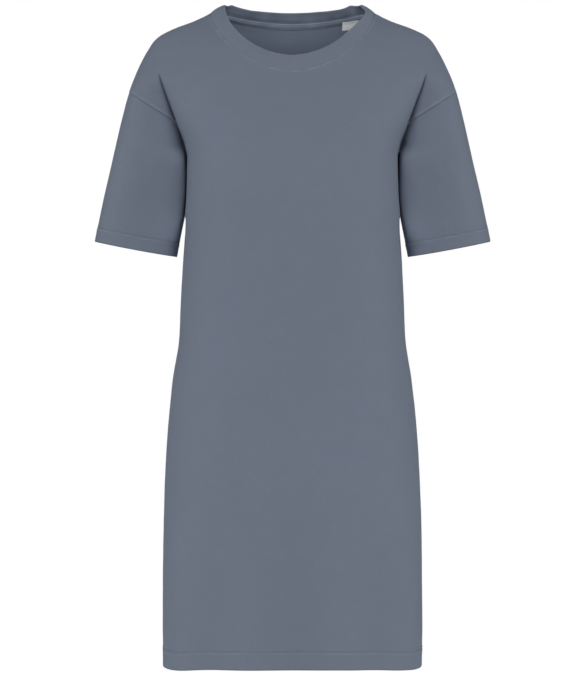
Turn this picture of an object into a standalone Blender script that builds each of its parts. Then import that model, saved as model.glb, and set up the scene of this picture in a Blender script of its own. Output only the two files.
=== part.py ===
"""T-shirt dress, hollow as when worn: front, back, two dropped sleeves, rib neckband, neck tape, label.

Metres, +Z up. The front faces -Y and the wearer's left arm is at +X. The origin is midway between the
two points where the shoulder seams meet the neckband. Every surface below is the cloth's outer face;
a wall is that face and a copy of it moved inwards.
"""

from math import cos, exp, pi, sin

import bmesh
import bpy
from mathutils import Vector

FRONT, BACK = -1, 1  # the sign of y on each face of the garment

# Driving sizes
HEM = -0.9065  # height of the bottom edge
UNDERARM = -0.200  # height of the point where side seam and sleeve meet
WALL = 0.0015  # one layer of heavy jersey
HEM_TURN = 0.025  # depth of the turned-up bottom hem
CUFF_TURN = 0.020  # depth of the turned-up sleeve hem
RIB_WALL = 0.0024  # the neckband's folded rib
TAPE_WALL = 0.0010
SEAM_GAP = 0.0003  # between two pieces that are sewn together
MITRE_MOST = 1.7  # limits how far a wall's inner corner reaches in a sharp crease

NECK_HALF = 0.1154  # half the width between the neckband's two shoulder points
NECK_FRONT_DROP = 0.0864
NECK_BACK_DROP = 0.0114
NECK_FRONT_ACROSS = 1.8  # exponents of the front neckline in x and z, 2 and 2 for an ellipse
NECK_FRONT_DOWN = 1.5
NECK_BACK_ROUND = 1.6  # exponent of the back neckline: more is narrower at the bottom

RIB_EDGE_HALF = 0.0945  # half the width across the neckband's free edge
RIB_EDGE_TOP = 0.0118  # its height at the shoulders
RIB_EDGE_FRONT = -0.0636  # its height at the centre front
RIB_EDGE_BACK = 0.0064
RIB_EDGE_FRONT_Y = -0.0677
RIB_EDGE_BACK_Y = 0.0500
RIB_EDGE_SHAPE = 1.82
RIB_EDGE_FRONT_LEAN = 0.68  # exponents that carry y along the free edge, from the shoulder on
RIB_EDGE_BACK_LEAN = 1.05
RIB_BULGE = 0.0012  # how far the middle of the band stands out
RIB_RUFFLE = 0.0036  # how far the back of the free edge stands up next to the shoulder
RIB_RUFFLE_AT = 0.86  # where it does, as a share of the half-width, and how wide it is there
RIB_RUFFLE_WIDE = 0.12

TAPE_ABOVE = 0.0050  # how far the neck tape reaches up the band and down the back
TAPE_BELOW = 0.0059

LABEL_MIDDLE = Vector((0.0837, -0.0066))  # x and z of a bare woven label inside the back
LABEL_WIDTH = 0.0240
LABEL_HEIGHT = 0.0102
LABEL_TURN = 0.13  # radians

CUFF_OUTER = -0.3195  # height of the sleeve hem on the side away from the body
CUFF_INNER = -0.3408
CUFF_DIP = 0.004  # how far its front hangs below its back
CUFF_LEAN = 0.983  # of a length up the sleeve, the part that is height

LABEL_STAND = 0.0052  # its distance from the back panel's inside

PIECES = ["front_panel", "back_panel", "sleeve_left", "sleeve_right", "neckband"]
CROTCH = Vector((0.1477, UNDERARM))  # x and z of the underarm point
RIM_ANGLE = 0.9  # radians: a sharper edge than this is a wall's rim
CLOTH_ROUGHNESS = 0.92
JERSEY = (0.140, 0.165, 0.208)  # slate blue
LABEL = (0.70, 0.69, 0.66)

# How finely the solids are divided
BODY_COLUMNS = 18  # from the centre to the side seam
CAP_COLUMNS = 6  # from the armpit crease to the armhole seam
NECK_COLUMNS = 11  # of the body columns, those that end at the neckline
BODY_ROWS = 17  # between the hem and the underarm
BODY_CROWD = 1.3  # more than 1 puts these rows closer together towards the underarm
YOKE_ROWS = 15  # from the underarm to the shoulder, and round each half of a sleeve
CREASE_ROWS = 3  # of those, the ones whose seam is in the crease
SLEEVE_ROWS = 8
RIB_ROWS = 4
SAMPLES = 90  # points on a curve before it is divided evenly

# The body's level sections. The front and back are distances from y = 0, side is the y of the widest
# point, and square is the exponent of the section's outline.
BODY = [
    dict(z=-0.9065, half=0.1799, front=0.1270, back=0.1190, side=0.0000, square=3.1),
    dict(z=-0.8380, half=0.1812, front=0.1265, back=0.1205, side=0.0000, square=3.1),
    dict(z=-0.7200, half=0.1799, front=0.1260, back=0.1225, side=0.0000, square=3.0),
    dict(z=-0.6200, half=0.1764, front=0.1245, back=0.1240, side=0.0000, square=2.9),
    dict(z=-0.5187, half=0.1673, front=0.1210, back=0.1165, side=0.0000, square=2.9),
    dict(z=-0.4515, half=0.1575, front=0.1185, back=0.1060, side=0.0000, square=2.9),
    dict(z=-0.3845, half=0.1547, front=0.1185, back=0.0995, side=-0.0010, square=2.9),
    dict(z=-0.3170, half=0.1503, front=0.1215, back=0.0990, side=-0.0030, square=2.9),
    dict(z=-0.2900, half=0.1480, front=0.1235, back=0.1000, side=-0.0040, square=2.9),
    dict(z=-0.2475, half=0.1473, front=0.1250, back=0.1030, side=-0.0040, square=3.0),
    dict(z=-0.2200, half=0.1475, front=0.1225, back=0.1050, side=0.0040, square=3.1),
    dict(z=-0.2000, half=0.1477, front=0.1190, back=0.1055, side=0.0100, square=3.2),
    dict(z=-0.1600, half=0.1477, front=0.1085, back=0.1055, side=0.0080, square=3.3),
    dict(z=-0.1200, half=0.1477, front=0.0935, back=0.1030, side=0.0040, square=3.1),
    dict(z=-0.0864, half=0.1477, front=0.0780, back=0.0980, side=0.0010, square=2.7),
    dict(z=-0.0565, half=0.1477, front=0.0633, back=0.0895, side=0.0000, square=2.3),
    dict(z=-0.0300, half=0.1477, front=0.0431, back=0.0760, side=0.0000, square=2.1),
    dict(z=-0.0155, half=0.1477, front=0.0310, back=0.0655, side=0.0000, square=2.1),
    dict(z=-0.0050, half=0.1477, front=0.0215, back=0.0540, side=0.0000, square=2.1),
    dict(z=0.0000, half=0.1477, front=0.0160, back=0.0330, side=0.0000, square=2.0),
]

# The outline from the front, of shoulder and sleeve.
OUTLINE = [
    dict(z=0.0000, half=0.1154),
    dict(z=-0.0091, half=0.1334),
    dict(z=-0.0147, half=0.1471),
    dict(z=-0.0203, half=0.1628),
    dict(z=-0.0259, half=0.1754),
    dict(z=-0.0315, half=0.1856),
    dict(z=-0.0371, half=0.1923),
    dict(z=-0.0427, half=0.1968),
    dict(z=-0.0539, half=0.2038),
    dict(z=-0.0651, half=0.2102),
    dict(z=-0.0931, half=0.2226),
    dict(z=-0.1155, half=0.2305),
    dict(z=-0.1491, half=0.2396),
    dict(z=-0.2051, half=0.2524),
    dict(z=-0.2611, half=0.2653),
    dict(z=-0.3195, half=0.2767),
    dict(z=-0.3600, half=0.2840),
]

# The sleeve's level sections: its side next to the body, half its depth, its middle's y, and how far
# behind that its inner edge tucks in, to lie just clear of the body.
SLEEVE = [
    dict(z=-0.0390, inner=0.1330, depth=0.0380, middle=0.0000, tuck=0.0000),
    dict(z=-0.0864, inner=0.1370, depth=0.0494, middle=0.0010, tuck=0.0000),
    dict(z=-0.1200, inner=0.1395, depth=0.0541, middle=0.0040, tuck=0.0000),
    dict(z=-0.1600, inner=0.1430, depth=0.0565, middle=0.0080, tuck=0.0000),
    dict(z=-0.2000, inner=0.1477, depth=0.0570, middle=0.0100, tuck=0.0000),
    dict(z=-0.2080, inner=0.1483, depth=0.0570, middle=0.0103, tuck=0.0025),
    dict(z=-0.2250, inner=0.1480, depth=0.0567, middle=0.0107, tuck=0.0100),
    dict(z=-0.2475, inner=0.1473, depth=0.0560, middle=0.0110, tuck=0.0145),
    dict(z=-0.2680, inner=0.1479, depth=0.0551, middle=0.0110, tuck=0.0150),
    dict(z=-0.2835, inner=0.1508, depth=0.0551, middle=0.0108, tuck=0.0125),
    dict(z=-0.3005, inner=0.1543, depth=0.0546, middle=0.0103, tuck=0.0090),
    dict(z=-0.3408, inner=0.1623, depth=0.0532, middle=0.0090, tuck=0.0040),
    dict(z=-0.3700, inner=0.1680, depth=0.0532, middle=0.0090, tuck=0.0040),
]
SLEEVE_SQUARE = 3.2

# The armpit crease, from the underarm up to where it has run out at the shoulder seam.
CREASE = [
    dict(z=-0.2000, half=0.1477),
    dict(z=-0.1810, half=0.1512),
    dict(z=-0.1580, half=0.1592),
    dict(z=-0.1220, half=0.1723),
    dict(z=-0.0920, half=0.1834),
    dict(z=-0.0600, half=0.1895),
    dict(z=-0.0390, half=0.1938),
]
CREASE_FULL = -0.118  # below this the crease has its whole depth
CREASE_GONE = -0.068  # above this there is none

# The armhole seam follows the crease, then leaves it and runs out to the shoulder seam's end.
ARMHOLE_TOP = -0.1113  # height of that end
ARMHOLE_SAG = 0.0015

# Soft vertical folds of the skirt: where each is at the hem, how wide and deep, and where it starts.
FOLDS = [
    dict(face=FRONT, x=-0.118, width=0.036, depth=0.0050, top=-0.600),
    dict(face=FRONT, x=0.004, width=0.042, depth=0.0060, top=-0.580),
    dict(face=FRONT, x=0.124, width=0.034, depth=0.0050, top=-0.610),
    dict(face=BACK, x=-0.070, width=0.040, depth=0.0065, top=-0.540),
    dict(face=BACK, x=0.078, width=0.038, depth=0.0060, top=-0.560),
]


def at(table, column, z):
    """The column's value at height z, on a smooth curve that passes through the table's rows."""
    rows = sorted(table, key=lambda row: row["z"])
    z = min(max(z, rows[0]["z"]), rows[-1]["z"])
    i = max(1, sum(row["z"] < z for row in rows[:-1]))
    steps = [b["z"] - a["z"] for a, b in zip(rows, rows[1:])]
    slopes = [(b[column] - a[column]) / step for a, b, step in zip(rows, rows[1:], steps)]

    def tangent(k):
        if k == 0 or k == len(rows) - 1:
            return slopes[min(k, len(slopes) - 1)]
        if slopes[k - 1] * slopes[k] <= 0:
            return 0.0
        return 2 * slopes[k - 1] * slopes[k] / (slopes[k - 1] + slopes[k])

    low, high, step = rows[i - 1][column], rows[i][column], steps[i - 1]
    t = (z - rows[i - 1]["z"]) / step
    curve = tangent(i - 1) * (t - 2 * t**2 + t**3) + tangent(i) * (t**3 - t**2)
    return low + (high - low) * (3 * t**2 - 2 * t**3) + step * curve


def smooth(t):
    t = min(max(t, 0.0), 1.0)
    return t * t * (3 - 2 * t)


def mix(a, b, t):
    return a + (b - a) * t


def arch(share, square):
    """Height of a unit superellipse at that share of its half-width, and 0 at its very end."""
    share = abs(share)
    return 0.0 if share > 0.9999 else (1 - share**square) ** (1 / square)


def evenly(path, count):
    """count + 1 points spaced evenly along a list of points."""
    ends = [0.0]
    for a, b in zip(path, path[1:]):
        ends.append(ends[-1] + (b - a).length)
    spaced, i = [], 0
    for k in range(count + 1):
        along = ends[-1] * k / count
        while i < len(path) - 2 and ends[i + 1] < along:
            i += 1
        spaced.append(path[i].lerp(path[i + 1], (along - ends[i]) / (ends[i + 1] - ends[i])))
    return spaced


# The cloth's outer face: the y of a point whose x and z are known


def sleeve_y(x, z, face):
    inner, outer = at(SLEEVE, "inner", z), at(OUTLINE, "half", z)
    share = max(-1.0, 2 * (abs(x) - inner) / (outer - inner) - 1)
    middle = at(SLEEVE, "middle", z) + at(SLEEVE, "tuck", z) * ((1 - share) / 2) ** 2
    return middle + face * at(SLEEVE, "depth", z) * arch(share, SLEEVE_SQUARE)


def body_depth(z, face):
    side = at(BODY, "side", z)
    return at(BODY, "front", z) + side if face == FRONT else at(BODY, "back", z) - side


def crease_share(z):
    """How much of the armpit crease there is at height z."""
    return smooth((CREASE_GONE - z) / (CREASE_GONE - CREASE_FULL))


def shoulder_y(x, z, face):
    """The rounded shoulder, with no crease."""
    rounded = arch(x / at(OUTLINE, "half", z), at(BODY, "square", z))
    return at(BODY, "side", z) + face * body_depth(z, face) * rounded


def cap_y(x, z, face):
    """The shoulder as it turns into the sleeve, outside the crease."""
    return mix(shoulder_y(x, z, face), sleeve_y(x, z, face), crease_share(z))


def fold_depth(x, z, face):
    deep = 0.0
    for fold in FOLDS:
        if fold["face"] == face and z < fold["top"]:
            down = smooth((fold["top"] - z) / (fold["top"] - HEM))
            spread = fold["width"] * (0.7 + 0.5 * down)
            deep += fold["depth"] * down * exp(-(((x - fold["x"]) / spread) ** 2))
    return deep


def body_y(x, z, face):
    side, square, depth = at(BODY, "side", z), at(BODY, "square", z), body_depth(z, face)
    if z <= UNDERARM:
        rounded = arch(x / at(BODY, "half", z), square)
        return side + face * rounded * (depth - fold_depth(x, z, face))
    crease = at(CREASE, "half", z)
    if abs(x) > crease:
        return cap_y(x, z, face)
    # A chest that comes down to the sleeve's own depth at the crease
    reach = abs(sleeve_y(crease, z, face) - side) / depth
    chest = side + face * depth * arch(x / crease * arch(reach, square), square)
    return mix(shoulder_y(x, z, face), chest, crease_share(z))


# Lines on that face, as x and z of the left half


def neckline(turn, face):
    """turn runs from 0 at the centre to a quarter turn at the shoulder."""
    if face == BACK:
        return Vector((NECK_HALF * sin(turn), -NECK_BACK_DROP * cos(turn) ** (2 * NECK_BACK_ROUND)))
    across, down = sin(turn) ** (2 / NECK_FRONT_ACROSS), abs(cos(turn)) ** (2 / NECK_FRONT_DOWN)
    return Vector((NECK_HALF * across, -NECK_FRONT_DROP * down))


def shoulder_line(z):
    return Vector((at(OUTLINE, "half", z), z))


def yoke_share(row):
    """How far up the yoke that row is: rows crowd towards the shoulder, where the cloth turns over."""
    return 1 - (1 - row / YOKE_ROWS) ** 1.5


def crease_line(row):
    if row == YOKE_ROWS:
        return shoulder_line(CREASE[-1]["z"])
    z = mix(UNDERARM, CREASE[-1]["z"], yoke_share(row))
    return Vector((at(CREASE, "half", z), z))


def armhole(row):
    """The seam between the point where it leaves the crease and the shoulder seam's end."""
    share = ((row - CREASE_ROWS) / (YOKE_ROWS - CREASE_ROWS)) ** 0.75
    line = crease_line(CREASE_ROWS).lerp(shoulder_line(ARMHOLE_TOP), share)
    return line - Vector((0, ARMHOLE_SAG * 4 * share * (1 - share)))


def on(surface, flat, face, hand=1):
    """The point of that surface at x and z, on the left half, or the right one for hand -1."""
    x, z = hand * flat.x, flat.y
    return Vector((x, surface(x, z, face), z))


def flat_of(point):
    return Vector((point.x, point.z))


# The panels, as rows of x and z from the centre out


def level_row(z, face):
    half = at(BODY, "half", z)
    turns = [pi / 2 * k / SAMPLES for k in range(SAMPLES + 1)]
    path = [on(body_y, Vector((half * sin(turn), z)), face) for turn in turns]
    return [flat_of(point) for point in evenly(path, BODY_COLUMNS)]


def top_row(face):
    """The panel's top edge, as far as the crease's line: neckline, then shoulder seam."""
    crease_top = CREASE[-1]["z"]
    shares = [k / SAMPLES for k in range(SAMPLES + 1)]
    neck = evenly([on(body_y, neckline(pi / 2 * s, face), face) for s in shares], NECK_COLUMNS)
    slope = [on(body_y, shoulder_line(crease_top * s), face) for s in shares]
    slope = evenly(slope, BODY_COLUMNS - NECK_COLUMNS)
    return [flat_of(point) for point in neck] + [shoulder_line(point.z) for point in slope[1:]]


def yoke_row(row, bottom, top):
    """One row between the underarm's level and the shoulder, blended from its four edges."""
    t = yoke_share(row)
    crease = crease_line(row)
    pull = crease - bottom[-1].lerp(top[-1], t)
    flats = [a.lerp(b, t) + pull * (k / BODY_COLUMNS) for k, (a, b) in enumerate(zip(bottom, top))]
    if row <= CREASE_ROWS:
        return flats + [crease] * CAP_COLUMNS
    crease_top, seam_end = crease_line(YOKE_ROWS), shoulder_line(ARMHOLE_TOP)
    for k in range(1, CAP_COLUMNS + 1):
        s = k / CAP_COLUMNS
        rim = shoulder_line(mix(crease_top.y, ARMHOLE_TOP, s))
        bow = (rim - crease_top.lerp(seam_end, s)) * (row - CREASE_ROWS) / (YOKE_ROWS - CREASE_ROWS)
        flats.append(rim if row == YOKE_ROWS else crease.lerp(armhole(row), s) + bow)
    return flats


def panel_rows(face):
    turned = HEM + HEM_TURN
    last = UNDERARM - 0.020
    heights = [HEM, turned]
    climb = [1 - (1 - k / BODY_ROWS) ** BODY_CROWD for k in range(BODY_ROWS + 1)]
    heights += [mix(turned + WALL, last, share) for share in climb]
    heights += [UNDERARM - 0.008, UNDERARM]
    levels = [level_row(z, face) for z in heights]
    rows = [level + [level[-1]] * CAP_COLUMNS for level in levels]
    top = top_row(face)
    return rows + [yoke_row(row, levels[-1], top) for row in range(1, YOKE_ROWS + 1)]


# The sleeves, as rows of x and z from the shoulder round to the underarm


def cuff_row(up, face):
    """Half of the ring at that distance up the sleeve from its hem."""
    outer = shoulder_line(CUFF_OUTER + up * CUFF_LEAN)
    inner_z = CUFF_INNER + up * CUFF_LEAN
    inner = Vector((at(SLEEVE, "inner", inner_z), inner_z))
    path = []
    for k in range(SAMPLES + 1):
        share = cos(pi * k / SAMPLES)
        flat = inner.lerp(outer, (1 + share) / 2)
        flat.y += face * CUFF_DIP / 2 * arch(share, 2)
        path.append(on(cap_y, flat, face))
    flats = [flat_of(point) for point in evenly(path, YOKE_ROWS)]
    return [outer] + flats[1:-1] + [inner]


def sleeve_rows(start, face):
    """Rows from the armhole, whose points are given, down to the sleeve's hem."""
    end = cuff_row(CUFF_TURN + WALL, face)
    rows = [start]
    for row in range(1, SLEEVE_ROWS + 1):
        t = row / SLEEVE_ROWS
        line = [a.lerp(b, t) for a, b in zip(start, end)]
        outer = shoulder_line(line[0].y)
        inner = Vector((at(SLEEVE, "inner", line[-1].y), line[-1].y))
        pull_out, pull_in = outer - line[0], inner - line[-1]
        shares = [k / YOKE_ROWS for k in range(YOKE_ROWS + 1)]
        rows.append([p + pull_out * (1 - s) + pull_in * s for p, s in zip(line, shares)])
    return rows + [cuff_row(CUFF_TURN, face), cuff_row(0, face)]


# The neckband, as rings from the neckline to its free edge


def rib_edge(share, face):
    """A point of the free edge: share is the neckline's own x as a share of its half-width."""
    share = max(-1.0, min(1.0, share))
    rise = arch(share, RIB_EDGE_SHAPE)
    if face == FRONT:
        low, y, lean = RIB_EDGE_FRONT, RIB_EDGE_FRONT_Y, RIB_EDGE_FRONT_LEAN
    else:
        low, y, lean = RIB_EDGE_BACK, RIB_EDGE_BACK_Y, RIB_EDGE_BACK_LEAN
    z = mix(RIB_EDGE_TOP, low, rise)
    if face == BACK:
        z += RIB_RUFFLE * exp(-(((abs(share) - RIB_RUFFLE_AT) / RIB_RUFFLE_WIDE) ** 2))
    return Vector((RIB_EDGE_HALF * share, y * rise**lean, z))


def rib_rows(ring, faces):
    """From each point of the neckline to the free edge, standing out a little between them."""
    edge = [rib_edge(point.x / NECK_HALF, face) for point, face in zip(ring, faces)]
    rows = []
    for row in range(RIB_ROWS + 1):
        t = row / RIB_ROWS
        line = []
        for a, b in zip(ring, edge):
            out = Vector((a.x, a.y, 0)).normalized()
            line.append(a.lerp(b, t) + out * RIB_BULGE * 4 * t * (1 - t))
        rows.append(line)
    return rows


# The whole outer face, one piece of cloth after another, sewn together


def lay(shell, rows, piece, turned_rows=(), closed=False):
    """Adds a grid of points to the shell. piece numbers its faces; turned_rows have a turned hem."""
    turned = shell.verts.layers.int["turned"]
    grid = [[shell.verts.new(point) for point in row] for row in rows]
    for k in turned_rows:
        for vert in grid[k]:
            vert[turned] = 1
    for low, high in zip(grid, grid[1:]):
        sides = list(zip(low, low[1:], high[1:], high))
        if closed:
            sides.append((low[-1], low[0], high[0], high[-1]))
        for corners in sides:
            shell.faces.new(corners).material_index = piece


def make_shell():
    shell = bmesh.new()
    shell.verts.layers.int.new("turned")
    neck = {}
    for face in (FRONT, BACK):
        flats = panel_rows(face)
        rows = []
        for row in flats:
            right = [on(body_y, flat, face, -1) for flat in row[:0:-1]]
            rows.append(right + [on(body_y, flat, face) for flat in row])
        lay(shell, rows, PIECES.index("front_panel" if face == FRONT else "back_panel"), (0, 1))
        width = BODY_COLUMNS + CAP_COLUMNS
        neck[face] = rows[-1][width - NECK_COLUMNS : width + NECK_COLUMNS + 1]
        for hand, piece in ((1, "sleeve_left"), (-1, "sleeve_right")):
            start = [row[-1] for row in reversed(flats[-YOKE_ROWS - 1 :])]
            rows = [[on(cap_y, flat, face, hand) for flat in row] for row in sleeve_rows(start, face)]
            rows[0] = [on(body_y, flat, face, hand) for flat in start]
            lay(shell, rows, PIECES.index(piece), (-2, -1))
    ring = neck[FRONT] + neck[BACK][-2:0:-1]
    faces = [FRONT] * len(neck[FRONT]) + [BACK] * (len(neck[BACK]) - 2)
    lay(shell, rib_rows(ring, faces), PIECES.index("neckband"), closed=True)
    bmesh.ops.remove_doubles(shell, verts=shell.verts[:], dist=SEAM_GAP / 10)
    bmesh.ops.recalc_face_normals(shell, faces=shell.faces[:])
    chest = min(shell.faces, key=lambda face: face.calc_center_median().y)
    if chest.normal.y > 0:
        bmesh.ops.reverse_faces(shell, faces=shell.faces[:])
    shell.normal_update()
    outward = shell.verts.layers.float_vector.new("outward")
    for vert in shell.verts:
        vert[outward] = vert.normal * min(vert.calc_shell_factor(), MITRE_MOST)
        if (Vector((abs(vert.co.x), vert.co.z)) - CROTCH).length < SEAM_GAP:
            vert[outward] = Vector((0, 0, -MITRE_MOST))
    for edge in shell.edges:
        edge.seam = len({face.material_index for face in edge.link_faces}) > 1
    return shell


def seam_shift(vert, outward):
    """Half a seam's gap, back from each sewn edge that meets at this point."""
    backs = []
    for edge in vert.link_edges:
        if edge.seam and edge.is_boundary:
            face = edge.link_faces[0]
            back = outward.cross(edge.other_vert(vert).co - vert.co).normalized()
            inside = face.calc_center_median() - (edge.verts[0].co + edge.verts[1].co) / 2
            backs.append(back if back.dot(inside) > 0 else -back)
    if not backs:
        return Vector((0, 0, 0))
    both = backs[0] + backs[-1]
    return both * (SEAM_GAP / 2) / max(0.4, 1 + backs[0].dot(backs[-1]))


def close_wall(bm, wall):
    """Extrudes an open face into a closed wall: each point's copy moves in by wall of its own."""
    outward = bm.verts.layers.float_vector["outward"]
    made = bmesh.ops.extrude_face_region(bm, geom=bm.faces[:], use_keep_orig=True)["geom"]
    inner = {item for item in made if isinstance(item, bmesh.types.BMVert)}
    for vert in inner:
        vert.co -= vert[outward] * wall(vert)
    # Each rim's twisted faces are split alike on both sides of a seam: from the lower outer corner
    rims = [face for face in bm.faces if 0 < len(inner.intersection(face.verts)) < 4]
    for face in [face for face in rims if len(face.verts) == 4]:
        corners = list(face.verts)
        low = min((vert for vert in corners if vert not in inner), key=lambda vert: vert.co.z)
        across = corners[(corners.index(low) + 2) % 4]
        bmesh.utils.face_split(face, low, across)
    bmesh.ops.recalc_face_normals(bm, faces=bm.faces[:])
    if bm.calc_volume(signed=True) < 0:
        bmesh.ops.reverse_faces(bm, faces=bm.faces[:])


def cut_piece(shell, name, wall):
    """One piece of the shell as a closed wall, half a gap back from every seam."""
    bm = shell.copy()
    others = [face for face in bm.faces if face.material_index != PIECES.index(name)]
    bmesh.ops.delete(bm, geom=others, context="FACES")
    outward = bm.verts.layers.float_vector["outward"]
    shifts = [(vert, seam_shift(vert, vert[outward])) for vert in bm.verts]
    for vert, shift in shifts:
        vert.co += shift
    turned = bm.verts.layers.int["turned"]
    close_wall(bm, lambda vert: wall * (1 + vert[turned]))
    for face in bm.faces:
        face.material_index = 0
    return bm


# What lies inside the back of the neck


def loose_wall(rows, outwards, wall):
    """A closed wall from rows of points, each with the direction that faces out of the garment."""
    bm = bmesh.new()
    outward = bm.verts.layers.float_vector.new("outward")
    grid = []
    for row, directions in zip(rows, outwards):
        grid.append([bm.verts.new(point) for point in row])
        for vert, direction in zip(grid[-1], directions):
            vert[outward] = direction
    for low, high in zip(grid, grid[1:]):
        for corners in zip(low, low[1:], high[1:], high):
            bm.faces.new(corners)
    close_wall(bm, lambda vert: wall)
    return bm


def back_normal(flat):
    """The way out of the back panel at x and z."""
    step = 0.002
    here = on(body_y, flat, BACK)
    across = on(body_y, flat + Vector((step, 0)), BACK) - here
    up = on(body_y, flat + Vector((0, -step)), BACK) - here
    normal = across.cross(up).normalized()
    return normal if normal.y > 0 else -normal


def make_tape(shell):
    """A strip over the seam at the back of the neck, made from the seam's own points."""
    outward = shell.verts.layers.float_vector["outward"]
    rib, back = PIECES.index("neckband"), PIECES.index("back_panel")
    found = []
    for vert in shell.verts:
        kinds = {face.material_index for face in vert.link_faces}
        if {rib, back} <= kinds:
            steps = [edge.other_vert(vert) for edge in vert.link_edges if not edge.seam]
            ups = [other.co - vert.co for other in steps if other.link_faces[0].material_index == rib]
            found.append((vert.co.copy(), vert[outward].copy(), ups[0].normalized()))
    found.sort(key=lambda item: item[0].x)
    rows, outwards = [[], [], []], [[], [], []]
    for k, (point, normal, up) in enumerate(found):
        along = (found[min(k + 1, len(found) - 1)][0] - found[max(k - 1, 0)][0]).normalized()
        down = along.cross(normal).normalized()
        down = down if down.z < 0 else -down
        seat = point - normal * (RIB_WALL + SEAM_GAP)
        for row, place in enumerate((seat + up * TAPE_ABOVE, seat, seat + down * TAPE_BELOW)):
            rows[row].append(place)
            outwards[row].append(normal)
    return loose_wall(rows, outwards, TAPE_WALL)


def make_label():
    """A bare label just clear of the back panel's inside."""
    columns, lines = 4, 3
    across = Vector((cos(LABEL_TURN), sin(LABEL_TURN)))
    up = Vector((-across.y, across.x))
    rows, outwards = [], []
    for j in range(lines + 1):
        row, directions = [], []
        for i in range(columns + 1):
            flat = LABEL_MIDDLE + across * LABEL_WIDTH * (i / columns - 0.5)
            flat += up * LABEL_HEIGHT * (j / lines - 0.5)
            normal = back_normal(flat)
            row.append(on(body_y, flat, BACK) - normal * (WALL + LABEL_STAND))
            directions.append(normal)
        rows.append(row)
        outwards.append(directions)
    return loose_wall(rows, outwards, TAPE_WALL)


def finish(name, bm, colour, roughness):
    for face in bm.faces:
        face.smooth = True
    for edge in bm.edges:
        edge.seam = False
        edge.smooth = edge.calc_face_angle(0) < RIM_ANGLE
    mesh = bpy.data.meshes.new(name)
    bm.to_mesh(mesh)
    bm.free()
    part = bpy.data.objects.new(name, mesh)
    bpy.context.collection.objects.link(part)
    material = bpy.data.materials.new(name)
    material.use_nodes = True
    shader = material.node_tree.nodes["Principled BSDF"]
    shader.inputs["Base Color"].default_value = (*colour, 1)
    shader.inputs["Roughness"].default_value = roughness
    mesh.materials.append(material)


for item in list(bpy.data.objects):
    bpy.data.objects.remove(item, do_unlink=True)

body_shell = make_shell()
for piece_name in PIECES:
    thickness = RIB_WALL if piece_name == "neckband" else WALL
    finish(piece_name, cut_piece(body_shell, piece_name, thickness), JERSEY, CLOTH_ROUGHNESS)
finish("neck_tape", make_tape(body_shell), JERSEY, CLOTH_ROUGHNESS)
finish("neck_label", make_label(), LABEL, CLOTH_ROUGHNESS)
body_shell.free()
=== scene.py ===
from bisect import bisect_left
from math import cos, exp, pi, sin

import bmesh
import bpy
from mathutils import Matrix, Vector, noise
from mathutils.bvhtree import BVHTree
from mathutils.kdtree import KDTree


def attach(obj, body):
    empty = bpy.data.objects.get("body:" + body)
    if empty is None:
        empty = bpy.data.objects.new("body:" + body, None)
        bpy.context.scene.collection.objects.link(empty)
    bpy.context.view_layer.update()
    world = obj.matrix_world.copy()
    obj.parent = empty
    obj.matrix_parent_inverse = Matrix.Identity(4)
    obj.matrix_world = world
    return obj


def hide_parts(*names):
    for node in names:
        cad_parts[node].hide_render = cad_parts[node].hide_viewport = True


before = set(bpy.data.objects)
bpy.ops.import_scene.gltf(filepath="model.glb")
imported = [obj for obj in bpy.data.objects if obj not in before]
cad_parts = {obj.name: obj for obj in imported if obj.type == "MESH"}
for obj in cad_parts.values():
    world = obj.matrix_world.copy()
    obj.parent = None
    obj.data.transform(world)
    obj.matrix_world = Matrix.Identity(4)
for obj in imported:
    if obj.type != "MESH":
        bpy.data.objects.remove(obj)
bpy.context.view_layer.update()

# Metres, z up. The front faces -y and the wearer's left arm is at +x. Height 0 is where the
# shoulder seams meet the neckband. Every guide below is the cloth's outer face.

front, back = -1, 1   # sign of y on each face of the dress
left, right = 1, -1   # sign of x on each hand


def table(names, *rows):
    # rows of values under the names of their columns
    return [dict(zip(names.split(), row)) for row in rows]


dress = {
    "hem": -0.9065,
    "underarm": -0.200,
    "cloth": 0.0013,        # one layer of jersey
    "thinnest": 0.0004,
    "hemDip": 0.0042,       # how much lower the hem hangs at the side seams
    "hemDipUp": 0.060,      # height over which that fades out
    "hemDipFrom": 0.55,     # share of the half width where it starts
    "hemDipOver": 0.42,
    "hemWaver": 0.0004,
    "turnUp": 0.0285,       # depth of the turned hem, up to its raw edge
    "stitchUp": 0.0252,     # the hem's stitching, above the bottom edge
    "bodyColumns": 18,      # guide columns from the centre to the side seam
    "capColumns": 6,        # from the armpit crease to the armhole seam
    "neckColumns": 11,      # body columns that end at the neckline
    "bodyRows": 92,
    "rowEase": 1.12,        # above 1, rows close up towards their end
    "lastRow": 0.016,       # the even rows end this far below the underarm
    "underarmSteps": (0.011, 0.007, 0.0035, 0),
    "yokeRows": 60,         # from the underarm to the shoulder, and round each half sleeve
    "yokeEase": 1.5,
    "creaseRows": 12,       # of those, the rows whose seam runs in the crease
    "samples": 90,
    "neckFine": 110,        # finished columns of each stretch
    "shoulderFine": 36,
    "shoulderEase": 1.35,
    "capFine": 24,
    "neckCorner": 0.02,     # reach of the corner where the neckline ends
    "merge": 0.00003,
}

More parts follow.
